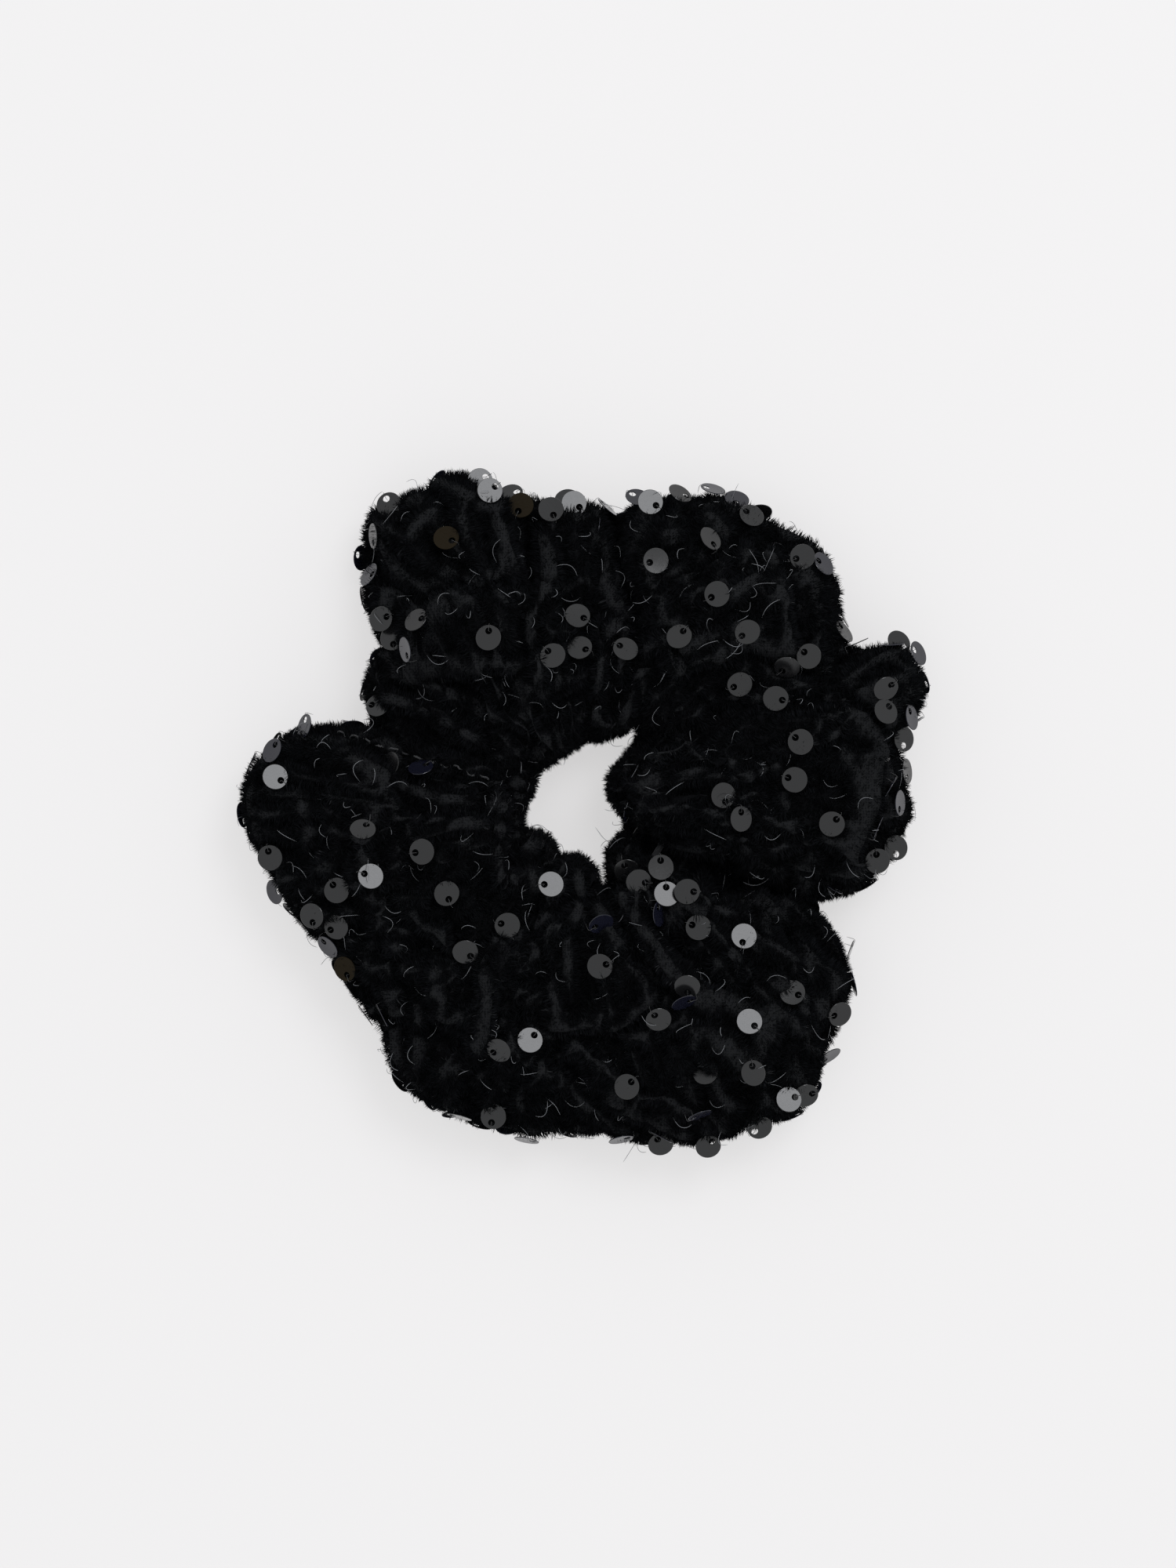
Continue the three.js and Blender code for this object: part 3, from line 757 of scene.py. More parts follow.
def thread_material(name, colour, roughness, twist):
    """Thread with its twist."""
    material, tree, shader = node_material(name, colour, roughness, Sheen_Weight=0.2)
    noise = add_noise(tree, twist, 2.0, (1, 1, 2.5))
    add_ramp(tree, noise.outputs["Fac"], shader, "Base Color",
             [(0.3, tinted(colour, 0.6)), (0.7, tinted(colour, 1.7))])
    add_bump(tree, noise.outputs["Fac"], shader, 0.1 * MM)
    return material


# -------------------------------------------------------------------- finished casing


def outer_cloth():
    """The finished casing's outer face: (points, normals) as grids, without its turned-in
    edges, read back from the piece."""
    mesh = bpy.data.objects["casing"].data
    count = FINE_RING_STEPS * casing_columns()
    points = np.empty(len(mesh.vertices) * 3, dtype=np.float32)
    mesh.vertices.foreach_get("co", points)
    grid = points.reshape(-1, 3)[:count].reshape(FINE_RING_STEPS, casing_columns(), 3).astype(float)
    grid = grid[:, FLAP_STEPS:-FLAP_STEPS]
    return grid, grid_normals(grid)


def casing_columns():
    return FINE_TUBE_STEPS + 2 * FLAP_STEPS


def cloth_tree(points):
    faces = ring_faces(*points.shape[:2])
    return BVHTree.FromPolygons([tuple(p) for p in points.reshape(-1, 3)], faces.tolist())


def scatter(points, fields, count, weight, seed):
    """Random places on the cloth: (points, fields) of count of them, the faces chosen by
    their area times weight."""
    random = np.random.default_rng(seed)
    faces = ring_faces(*points.shape[:2])
    corners = points.reshape(-1, 3)[faces]
    diagonals = np.cross(corners[:, 2] - corners[:, 0], corners[:, 3] - corners[:, 1])
    chance = np.linalg.norm(diagonals, axis=1) * weight.reshape(-1)[faces].mean(1)
    chosen = random.choice(len(faces), size=count, p=chance / chance.sum())
    s, t = random.random((2, count, 1))
    shares = [(1 - s) * (1 - t), s * (1 - t), s * t, (1 - s) * t]
    values = fields.reshape(-1, fields.shape[-1])[faces[chosen]]
    place = sum(share * corners[chosen][:, k] for k, share in enumerate(shares))
    return place, sum(share * values[:, k] for k, share in enumerate(shares))


def swirl(points, size, seed):
    """Smooth random values near -1 to 1 over points, changing over about size metres."""
    random = np.random.default_rng(seed)
    total = np.zeros(len(points))
    waves = 7
    for _ in range(waves):
        direction = random.normal(size=3) / size
        total += np.sin(points @ direction * 2.2 + random.uniform(0, 2 * math.pi))
    return total / math.sqrt(waves / 2)


def blurred(values, passes):
    for _ in range(passes):
        values = relax(values, 1, 0.8)
        values[:, 0], values[:, -1] = values[:, 1], values[:, -2]
    return values


def crests(points, normals):
    """How far each point stands out of its surroundings, in units of about 0.3 mm."""
    around = blurred(points.copy(), 8)
    return np.sum((points - around) * normals, axis=-1) / (0.3 * MM)


class SCRUNCHIE_OT_casing(bpy.types.Operator):
    """Gathers the velvet casing, buckles it by cloth simulation and gives it its back"""

    bl_idname = "scrunchie.casing"
    bl_label = "Casing"

    def execute(self, context):
        settings = context.scene.scrunchie_casing
        inset = 0.9 * settings.pile_length
        cloth = fit_outline(gathered_ring(inset), inset)
        cloth = pleat(press_folds(cloth))
        cloth = buckle(cloth, settings.gather)
        cloth = fit_outline(relax(finer(cloth), 1), inset)
        cloth = relax(crease(cloth), 1, 0.3)
        table = settings.thickness + 0.2 * MM
        below = cloth[..., 2] < table
        cloth[..., 2] = np.where(below, table + 0.02 * (cloth[..., 2] - table), cloth[..., 2])
        cloth = seam_allowances(cloth)
        points, faces = cloth_with_back(cloth, settings.thickness)
        mesh = mesh_from_arrays("casing", points, faces)
        # The crest mask, which paints the knit lighter over the crests: a painted highlight.
        high = smoothstep((crests(cloth, grid_normals(cloth)) - 1.2) / 1.1)
        values = np.concatenate([high.ravel(), np.zeros(len(points) - high.size)])
        mesh.attributes.new("crest", "FLOAT", "POINT").data.foreach_set("value", values.astype(np.float32))
        piece = new_object("casing", mesh, knit_material())
        blend_over_joint(piece)
        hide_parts("cover_left", "cover_right")
        return {"FINISHED"}


# ------------------------------------------------------------------------------ pile

SHADE_STEPS = [0.45, 0.78, 1.12]  # lightness at which a tuft takes the next shade


def tuft_blades(roots, normals, parting, length, width, seed):
    """Bent, tapering blades: five points and three triangles each. They lean with the
    nap, and away from the crest of a crease, which is the way of parting."""
    random = np.random.default_rng(seed)
    count = len(roots)
    across = unit(np.cross(normals, random.normal(size=(count, 3))))
    nap = swirl(roots, 9 * MM, 11) * 2.2 + swirl(roots, 3 * MM, 12) * 0.5
    east = unit(np.cross(normals, np.array([0.13, 0.21, 1.0])))
    north = np.cross(normals, east)
    ahead = east * np.cos(nap)[:, None] + north * np.sin(nap)[:, None]
    lean = 0.16 + 0.2 * swirl(roots, 7 * MM, 13) + 0.05 * random.normal(size=count)
    lean = np.clip(lean, 0, 0.8)[:, None]
    clump = np.stack([swirl(roots, 0.7 * MM, number) for number in (16, 17, 18)], -1)
    wild = unit(random.normal(size=(count, 3))) * 0.05 + 0.2 * clump
    away = 0.8 * parting
    stem = unit(normals + 0.6 * (lean * ahead + away) + wild)
    top = unit(normals + 1.4 * (lean * ahead + away) + wild)
    uneven = 1 + 0.13 * swirl(roots, 0.9 * MM, 19)
    reach = length * random.uniform(0.6, 1.1, (count, 1)) * uneven[:, None]
    middle = roots + stem * reach * 0.55
    tip = middle + top * reach * 0.45
    half = across * width * random.uniform(0.35, 0.6, (count, 1))
    points = np.stack([roots - half, roots + half, middle - 0.8 * half, middle + 0.8 * half, tip], 1)
    points[..., 2] = np.maximum(points[..., 2], 0.05 * MM)
    blade = np.array([[0, 1, 3], [0, 3, 2], [2, 3, 4]])
    faces = (blade[None] + 5 * np.arange(count)[:, None, None]).reshape(-1, 3)
    return points.reshape(-1, 3), faces


class SCRUNCHIE_OT_pile(bpy.types.Operator):
    """Grows the velvet's pile as bent tufts that lean in crushed patches"""

    bl_idname = "scrunchie.pile"
    bl_label = "Pile"

    def execute(self, context):
        settings = context.scene.scrunchie_casing
        points, normals = outer_cloth()
        parting = normals - unit(blurred(normals.copy(), 10))
        parting -= normals * np.sum(parting * normals, axis=-1, keepdims=True)
        crest = crests(points, normals)
        table = smoothstep((points[..., 2] - 0.9 * MM) / (1.5 * MM))
        weight = np.maximum(table, 0.15) * (1 - 0.8 * smoothstep((crest - 1.5) / 1.3))
        # Shades of the pile: pile_light is a lighter copy, and pile_glint a much lighter, glossier copy
        # that is a painted glint.
        shades = [
            pile_material("pile_deep", tinted(settings.colour, 1.45), 0.8, 0),
            pile_material("pile_mid", tinted(settings.colour, 1.4), 0.7, 0),
            pile_material("pile_light", tinted(settings.colour, 1.55), 0.6, 0),
            pile_material("pile_glint", tinted(settings.colour, 3.2), 0.45, 0.22),
        ]
        fields = np.concatenate([normals, parting, crest[..., None]], axis=-1)
        for number in range(settings.swathes):
            count = settings.tufts // 1
            roots, values = scatter(points, fields, count, weight, 100 + number)
            up, away, high = unit(values[:, :3]), values[:, 3:6], values[:, 6]
            blades, faces = tuft_blades(
                roots, up, away, settings.pile_length, settings.pile_width, 200 + number)
            random = np.random.default_rng(300 + number)
            # Painted light in the tufts' shades: sheen_patches are swirled patches of painted sheen, and
            # the crest term paints tufts lighter on crests (painted highlight) and darker in hollows
            # (painted shade). The random term is the pile's own uneven tone.
            sheen_patches = 0.1 * swirl(roots, 5 * MM, 14) + 0.14 * swirl(roots, 1.3 * MM, 15)
            lightness = 0.62 * random.random(count) + 0.17 + sheen_patches + 0.05 * np.clip(high, -3, 2)
            shade = np.searchsorted(SHADE_STEPS, lightness)
            mesh = mesh_from_arrays(f"pile_{number + 1}", blades, faces, False, np.repeat(shade, 3))
            piece = new_object(f"pile_{number + 1}", mesh, *shades)
            blend_rigidly(piece)
        return {"FINISHED"}


# --------------------------------------------------------------------------- sequins

# Sequins beside those of the frame that lie in known places, as (x, y, lean) in
# millimetres and in degrees outwards from level.
PLACED_SEQUINS = [
    (-2, 59.5, 30), (-21, 65.5, 52), (-41, 45.5, 66), (13, 59.5, 8), (40, -57.5, 12), (64.5, 30, 55),
    (48, -47, 62), (8.5, -2, 66), (-6, 58, 10), (-36, 33, 20), (-30.5, 35, 50), (-39, 19, 22),
    (-1, 37, 22), (0, 30, 32), (33, 57, 34), (46, 47, 35), (43.5, 30, 15), (57, 17.5, 30),
    (63, 13, 48), (64.5, 7.5, 64), (29.5, -2, 35), (57.5, -10, 10), (63, -9, 22), (-52, 15.5, 50),
    (-59, 10.5, 50), (-35.5, 8, 35), (-60.5, -9.5, 12), (-59, -16, 45), (-47, -22.5, 30),
    (-48, -25.5, 56), (-15.5, -46, 40), (-17.5, -60, 8), (10.5, -13.5, 15), (15, -11.5, 10),
    (20, -15.5, 8), (2.5, -19.5, 48), (18.5, -34.5, 58), (49.5, -39.5, 25), (22, -57, 62),
    (-38, 61, 25), (-2.5, 62, 35), (-13, 62, 45), (10.5, 59, 55), (18, 62, 50), (25.5, 63, 58),
    (31, 60.5, 40), (52, 34.5, 60), (62, 33, 25), (-11, -65, 72), (52, -27.5, 75), (43.5, -55.5, 30),
    (34.5, -62.5, 25), (25, -66.5, 25), (15.5, -66, 35), (7.5, -64, 60), (-23.5, -58.5, 66), (7, -1.5, 50),
]

# Sequins that happen to lean so that they send the key light straight up: those of the
# frame by number, and others of the known places.
GLINTING = {18, 24, 27, 34, 35, 43, 45, 48}
GLINTING_PLACES = {(-2, 59.5), (13, 59.5), (40, -57.5), (-21, 65.5)}
# Leaning sequins of the frame by number, as (lean, way that it leans) in degrees.
LEANING = {3: (60, 10), 21: (64, 190), 23: (56, 100), 39: (62, 0), 49: (12, 250), 50: (64, 0)}
BROWN_PLACES = [(-12, 58.5), (-26, 52), (-44.5, -30.5)]  # of the brown film
UP = np.array([0, 0, 1.0])
LEAST_LIFT = 1.0 * MM  # of the frame's sequins over the cloth
RIM_TUCK = 1.3 * MM  # how far a sequin past the rim is drawn in
WALL_DEPTH = 7 * MM  # from the rim in, where the scattered sequins are
SEQUIN_SPACING = 4.6 * MM


def sequin_disc(settings):
    """One sequin about its own centre, lying level with its hole towards +X: (points,
    faces). Rings of points run from the hole's top edge out, round the rim and back."""
    sides = 32
    angle = 2 * np.pi * np.arange(sides) / sides
    circle = np.stack([np.cos(angle), np.sin(angle), np.zeros(sides)], -1)
    radius, hole = settings.diameter / 2, settings.hole / 2
    half, bevel = settings.thickness / 2, settings.thickness * 0.35
    eye = np.array([settings.hole_offset, 0, 0])

    def ring(share, level, inside=0.0):
        loop = circle * (hole + share * (radius - inside - hole)) + eye * (1 - share)
        sink = settings.cup * (1 - (np.linalg.norm(loop, axis=1) / radius) ** 2)
        return loop + np.array([0, 0, level]) - sink[:, None] * np.array([0, 0, 1])

    shares = [0, 0.5, 1, 1, 1, 1, 0.5, 0]
    levels = [half, half, half, half - bevel, bevel - half, -half, -half, -half]
    inset = [0, 0, bevel, 0, 0, bevel, 0, 0]
    points = np.concatenate([ring(*place) for place in zip(shares, levels, inset)])
    index = np.arange(len(points)).reshape(len(shares), sides)
    below = np.roll(index, -1, 0)
    quads = np.stack([index, below, np.roll(below, -1, 1), np.roll(index, -1, 1)], -1)
    return points, quads.reshape(-1, 4)


def frame_from(normal, heading):
    """Rotation whose third axis is normal and whose first is nearest to heading."""
    side = np.cross(normal, heading)
    side /= np.linalg.norm(side)
    return np.stack([np.cross(side, normal), side, normal], -1)


def seat_sequin(tree, foot, normal, settings, lift, deepest):
    """Centre of a sequin with this normal that rests on the cloth's pile over foot, raised
    at most by deepest to clear what stands higher beside foot."""
    normal = Vector(normal)
    side = normal.orthogonal().normalized()
    other = normal.cross(side)
    high = 12 * MM
    tops = []
    for share in (0, 0.55, 0.95):
        for k in range(8 if share else 1):
            turn = 2 * math.pi * k / 8
            spot = Vector(foot) + (side * math.cos(turn) + other * math.sin(turn)) * (
                share * settings.diameter / 2)
            hit = tree.ray_cast(spot + normal * high, -normal, 2 * high)[0]
            tops.append((hit - Vector(foot)).dot(normal) if hit else -high)
    rise = min(max(tops), max(tops[0], 0) + deepest)
    return np.array(Vector(foot) + normal * (rise + lift))


def top_of(tree, x, y):
    """The cloth's highest point over a place on the table, with its normal."""
    hit, normal = tree.ray_cast(Vector((x, y, 0.08)), Vector((0, 0, -1)))[:2]
    return (np.array(hit), np.array(normal)) if hit else (None, None)


def outward_of(place):
    centre = ring_centre()
    away = np.array([place[0] - centre.x, place[1] - centre.y, 0])
    return away / max(np.linalg.norm(away), 1e-9)


def sequin_seats(settings):
    """Every sequin as (name, frame node or None, centre, rotation). First those of the
    frame, then those in known places, then those scattered on the sides."""
    points, normals = outer_cloth()
    tree = cloth_tree(points)
    known_count = len(SEQUIN_NODES) + len(PLACED_SEQUINS)
    random = np.random.default_rng(7)
    key = -np.array(KEY_AIM) * KEY_HEIGHT
    eye = np.array(VIEW_CENTRE) + np.array([0, 0, bpy.context.scene.scrunchie_stage.distance])

    def half_way(spot):
        return unit(unit(key - spot) + unit(eye - spot))

    seats = []
    for name in SEQUIN_NODES:
        low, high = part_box(name)
        place = np.array((low + high) / 2)
        foot = top_of(tree, place[0], place[1])[0]
        foot = place if foot is None else foot
        number = int(name.split("_")[1])
        tilt = unit(UP + 0.45 * outward_of(place) * (random.random() - 0.2)
                    + 0.25 * random.normal(size=3))
        if number in GLINTING:
            tilt = half_way(foot)
        elif number in LEANING:
            lean, way = np.radians(LEANING[number])
            tilt = math.sin(lean) * np.array([math.cos(way), math.sin(way), 0]) + math.cos(lean) * UP
        seats.append((name, name, foot, tilt))
    for number, (x, y, lean) in enumerate(PLACED_SEQUINS):
        place = np.array([x * MM, y * MM, 0])
        foot = top_of(tree, place[0], place[1])[0]
        if foot is None:
            foot = np.array(tree.find_nearest(Vector((place[0], place[1], HUB_HEIGHT)))[0])
            foot -= outward_of(place) * RIM_TUCK
        angle = math.radians(lean)
        tilt = math.cos(angle) * UP + outward_of(place) * math.sin(angle)
        tilt = unit(tilt + 0.12 * random.normal(size=3))
        tilt = half_way(foot) if (x, y) in GLINTING_PLACES else tilt
        seats.append((f"sequin_{len(SEQUIN_NODES) + number + 1:02d}", None, foot, tilt))
    taken = np.array([seat[2] for seat in seats])
    steep = (normals[..., 2] < 0.35) & (points[..., 2] > 3 * MM)
    centre = np.array(ring_centre())[:2]
    away = points[..., :2] - centre
    rim = ray_lengths(OUTLINE, np.arctan2(away[..., 1], away[..., 0]).ravel())[1].reshape(steep.shape)
    steep &= np.linalg.norm(away, axis=-1) > rim - WALL_DEPTH
    spots, facing = scatter(points, normals, 20 * settings.scattered, steep + 1e-6, 17)
    for spot, normal in zip(spots, unit(facing)):
        if len(seats) >= known_count + settings.scattered:
            break
        if np.min(np.linalg.norm(taken - spot, axis=1)) < SEQUIN_SPACING:
            continue
        top = top_of(tree, spot[0], spot[1])[0]
        if top is not None and normal[2] > 0.1 and top[2] - spot[2] < 2 * MM:
            continue
        tilt = unit(normal + 0.16 * random.normal(size=3))
        taken = np.vstack([taken, spot])
        seats.append((f"sequin_{len(seats) + 1:02d}", None, spot, tilt))
    finished = []
    for name, node, foot, tilt in seats:
        lift = random.uniform(0.55, 1.1) * MM
        lift = max(lift, LEAST_LIFT) if node else lift
        known = int(name.split("_")[1]) <= known_count
        centre = seat_sequin(tree, foot, tilt, settings, lift, 2.2 * MM if known else 0.9 * MM)
        spin = random.uniform(0, 2 * math.pi)
        heading = np.array([math.cos(spin), math.sin(spin), 0.2])
        turn = frame_from(tilt, heading)
        above = 0.3 * MM
        low = (np.abs(turn[2]) @ np.array([1, 1, 0])) * settings.diameter / 2 + above
        centre[2] = max(centre[2], min(low, settings.diameter / 2 + above))
        finished.append((name, node, centre, turn))
    return finished


class SCRUNCHIE_OT_sequins(bpy.types.Operator):
    """Lays the loose sequins on the pile, each hung by its off-centre hole"""

    bl_idname = "scrunchie.sequins"
    bl_label = "Sequins"

    def execute(self, context):
        settings = context.scene.scrunchie_sequins
        films = [
            sequin_material("sequin_black", settings.colour, 0.16),
            sequin_material("sequin_navy", (0.006, 0.0065, 0.013), 0.16),
            sequin_material("sequin_brown", (0.011, 0.0075, 0.003), 0.6, 0.08),
        ]
        disc, faces = sequin_disc(settings)
        seats = sequin_seats(settings)
        eyes, groups = [], {}
        for number, (name, node, centre, turn) in enumerate(seats):
            points = disc @ turn.T + centre
            brown = any(math.dist(centre[:2], (x * MM, y * MM)) < 2.5 * MM for x, y in BROWN_PLACES)
            film = 2 if brown else int(turn[2, 2] < 0.72 and number % 3 > 0)
            eyes.append((centre + turn @ np.array([settings.hole_offset, 0, 0]),
                         centre + turn @ np.array([settings.diameter / 2 + 0.2 * MM, 0, 0]), turn[:, 2]))
            if node:
                self.add(f"{name}_film", [(points, centre)], faces, films[film])
                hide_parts(node)
            else:
                group = "placed" if number < len(SEQUIN_NODES) + len(PLACED_SEQUINS) else "side"
                groups.setdefault((group, film), []).append((points, centre))
        for (group, film), discs in groups.items():
            self.add(f"sequins_{group}_{film + 1}", discs, faces, films[film])
        bpy.context.scene["sequin_eyes"] = np.array(eyes).ravel().tolist()
        return {"FINISHED"}

    def add(self, name, discs, faces, film):
        """One piece of some sequins."""
        count = len(discs[0][0])
        points = np.concatenate([disc for disc, _ in discs])
        many = (faces[None] + count * np.arange(len(discs))[:, None, None]).reshape(-1, 4)
        mesh = mesh_from_arrays(name, points, many)
        mesh.set_sharp_from_angle(angle=math.radians(40))
        piece = new_object(name, mesh, film)
        blend_rigidly(piece)


# --------------------------------------------------------------------------- threads


def tube(path, radius, sides=4, taper=False):
    """A round thread along a path, its ends closed when it has four sides: (points, quads)."""
    path = np.asarray(path, float)
    ahead = unit(np.gradient(path, axis=0))
    side = unit(np.cross(ahead, np.array([0.31, 0.17, 0.93])))
    other = np.cross(ahead, side)
    angle = 2 * np.pi * np.arange(sides) / sides
    width = np.full(len(path), radius)
    if taper:
        width[[0, -1]] *= 0.4
    rings = path[:, None] + width[:, None, None] * (
        side[:, None] * np.cos(angle)[:, None] + other[:, None] * np.sin(angle)[:, None])
    index = np.arange(len(path) * sides).reshape(len(path), sides)
    after = np.roll(index, -1, 1)
    quads = np.stack([index[:-1], after[:-1], after[1:], index[1:]], -1).reshape(-1, 4)
    if sides == 4:
        quads = np.concatenate([quads, index[:1, ::-1], index[-1:]])
    return rings.reshape(-1, 3), quads


def many_tubes(name, paths, radius, material, sides=4, anchored=True):
    """One piece of many threads."""
    points, faces, roots, start = [], [], [], 0
    for path in paths:
        ring, quads = tube(path, radius, sides, taper=True)
        points.append(ring)
        faces.append(quads + start)
        roots.append(np.repeat(np.asarray(path)[:1], len(ring), axis=0) if anchored else ring)
        start += len(ring)
    mesh = mesh_from_arrays(name, np.concatenate(points), np.concatenate(faces))
    piece = new_object(name, mesh, material)
    blend_rigidly(piece)
    return piece


def curve_through(points, count):
    """A smooth path of count points through a few (Catmull-Rom)."""
    points = np.asarray(points, float)
    ends = np.vstack([2 * points[0] - points[1], points, 2 * points[-1] - points[-2]])
    at = np.linspace(0, len(points) - 1 - 1e-9, count)
    k = at.astype(int)
    t = (at - k)[:, None]
    a, b, c, d = ends[k], ends[k + 1], ends[k + 2], ends[k + 3]
    return b + 0.5 * t * (c - a + t * (2 * a - 5 * b + 4 * c - d + t * (3 * (b - c) + d - a)))


class SCRUNCHIE_OT_monofilament(bpy.types.Operator):
    """Ties each sequin on through its hole, and lays the loose ends over the pile"""

    bl_idname = "scrunchie.monofilament"
    bl_label = "Monofilament"

    def execute(self, context):
        settings = context.scene.scrunchie_threads
        # The loose ends' light grey is partly the clear thread's own grey and partly its glints, painted in
        # as a highlight; the ties take the same thread in dark.
        film = thread_material("monofilament", (0.12, 0.125, 0.135), 0.2, 3 * MM)
        hidden = thread_material("tie_monofilament", (0.012, 0.012, 0.013), 0.4, 3 * MM)
        ties = []
        lift, below = 0.2 * MM, 1.6 * MM
        for eye, rim, up in np.array(context.scene["sequin_eyes"]).reshape(-1, 3, 3):
            ties.append(curve_through([
                eye - up * below, eye, eye + up * lift, (eye + rim) / 2 + up * lift,
                rim + up * lift / 2, rim - up * below], 14))
        many_tubes("sequin_ties", ties, settings.monofilament / 2, hidden)
        points, normals = outer_cloth()
        random = np.random.default_rng(23)
        shown = (normals[..., 2] > -0.2) & (points[..., 2] > 3 * MM)
        roots, up = scatter(points, normals, settings.loose_ends, shown + 1e-6, 29)
        up = unit(up)
        ends = []
        for root, normal in zip(roots, up):
            ahead = unit(np.cross(normal, unit(random.normal(size=3))))
            side = np.cross(normal, ahead)
            reach = random.uniform(1.4, 5.0) * MM
            height = random.uniform(1.1, 2.1) * MM
            bend = random.uniform(0.25, 0.9) * random.choice((-1, 1))
            finish = random.uniform(0.8, 2.0) * MM
            t = np.linspace(0, 1, 9)[:, None]
            arch = 4 * t * (1 - t)
            level = 0.4 * MM * (1 - t) + finish * t + (height - 0.8 * MM) * arch
            ends.append(root + ahead * reach * t + side * 0.4 * reach * bend * arch + normal * level)
        stray = random.choice(len(roots), 14, replace=False)
        for k in stray:
            root, normal = roots[k], unit(up[k] + 0.4 * random.normal(size=3))
            tip = root + normal * 5 * MM + random.normal(size=3) * 0.8 * MM
            ends.append(curve_through([root, root + normal * 2.5 * MM, tip], 8))
        for path in ends:
            path[:, 2] = np.maximum(path[:, 2], 0.2 * MM)
        many_tubes("loose_ends", ends, settings.monofilament / 2, film)
        return {"FINISHED"}


# -------------------------------------------------------------- elastic and the seams

ELASTIC_THICKNESS = 1.2 * MM
ELASTIC_OVERLAP = 10 * MM
ELASTIC_CLEARANCE = 2.4 * MM  # from the cloth at the hole to the elastic's middle


def hole_wall(low, high, steps=180):
    """The cloth's distance from the hole's centre, nearest over these heights, at each of
    some even angles round it."""
    points = outer_cloth()[0].reshape(-1, 3)
    points = points[(points[:, 2] > low) & (points[:, 2] < high)]
    centre = ring_centre()
    offset = points[:, :2] - np.array([centre.x, centre.y])
    turn = np.arctan2(offset[:, 1], offset[:, 0]) / (2 * np.pi) * steps
    wall = np.full(steps, 1.0)
    np.minimum.at(wall, np.round(turn).astype(int) % steps, np.linalg.norm(offset, axis=1))
    return wall


def elastic_path(count):
    """Middle line of the elastic, its last stretch stepping out over its first."""
    low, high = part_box("elastic_band")
    centre = ring_centre()
    points = np.array([v.co[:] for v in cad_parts["elastic_band"].data.vertices])
    radii = np.linalg.norm(points[:, :2] - np.array([centre.x, centre.y]), axis=1)
    inner = radii.min() + ELASTIC_THICKNESS / 2
    rise = radii.max() - ELASTIC_THICKNESS / 2 - inner
    tack_low, tack_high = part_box("elastic_tack")
    tack = (tack_low + tack_high) / 2
    lap = math.atan2(tack.y - centre.y, tack.x - centre.x)
    overlap = ELASTIC_OVERLAP / inner
    along = np.linspace(0, 2 * math.pi + overlap, count)
    step = smoothstep((along - 2 * math.pi + 1.2 * overlap) / overlap)
    angle = lap - overlap / 2 + along
    wall = hole_wall(low.z, high.z)
    clear = np.maximum(inner, soften(wall, 2, 0) + ELASTIC_CLEARANCE)
    clear = np.interp(angle, 2 * np.pi * np.arange(len(wall)) / len(wall), soften(clear, 3, 0),
                      period=2 * np.pi)
    radius = clear + rise * step
    level = (low.z + high.z) / 2
    path = np.stack([centre.x + radius * np.cos(angle), centre.y + radius * np.sin(angle),
                     np.full(count, level)], -1)
    outward = np.stack([np.cos(angle), np.sin(angle), np.zeros(count)], -1)
    return path, outward, high.z - low.z


class SCRUNCHIE_OT_elastic(bpy.types.Operator):
    """Braids the flat elastic, ribbed lengthwise, and its tack"""

    bl_idname = "scrunchie.elastic"
    bl_label = "Elastic"

    def execute(self, context):
        settings = context.scene.scrunchie_threads
        steps, per_rib = 260, 6
        path, outward, width = elastic_path(steps)
        across = np.linspace(-1, 1, settings.ribs * per_rib + 1)
        swell = np.abs(np.sin((across + 1) / 2 * settings.ribs * math.pi)) ** 0.5
        half = ELASTIC_THICKNESS / 2
        face = half * (0.7 + 0.3 * swell)
        braid = 0.03 * MM * np.sin(np.arange(steps) * 2.1)
        section = np.concatenate([
            np.stack([face, across * width / 2], -1),
            np.stack([-face[::-1], across[::-1] * width / 2], -1)])
        rings = (path[:, None] + outward[:, None] * (section[None, :, :1] + braid[:, None, None]
                 * np.sign(section[None, :, :1])) + section[None, :, 1:] * np.array([0, 0, 1.0]))
        count = section.shape[0]
        index = np.arange(steps * count).reshape(steps, count)
        after = np.roll(index, -1, 1)
        quads = np.stack([index[:-1], index[1:], after[1:], after[:-1]], -1).reshape(-1, 4)
        rib = count // 2
        caps = []
        for row, flip in ((index[0], False), (index[-1], True)):
            front, back = row[:rib], row[rib:][::-1]
            cap = np.stack([front[:-1], front[1:], back[1:], back[:-1]], -1)
            caps.append(cap[:, ::-1] if flip else cap)
        mesh = mesh_from_arrays("elastic_loop", rings.reshape(-1, 3), np.concatenate([quads, *caps]))
        material = thread_material("elastic_yarn", (0.014, 0.014, 0.016), 0.75, 0.6 * MM)
        piece = new_object("elastic_loop", mesh, material)
        blend_rigidly(piece)
        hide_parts("elastic_band")
        yarn = thread_material("sewing_thread", (0.012, 0.012, 0.014), 0.6, 0.3 * MM)
        tack = new_object("tack_stitches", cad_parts["elastic_tack"].data.copy())
        tack.data.materials.clear()
        tack.data.materials.append(yarn)
        blend_rigidly(tack)
        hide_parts("elastic_tack")
        return {"FINISHED"}


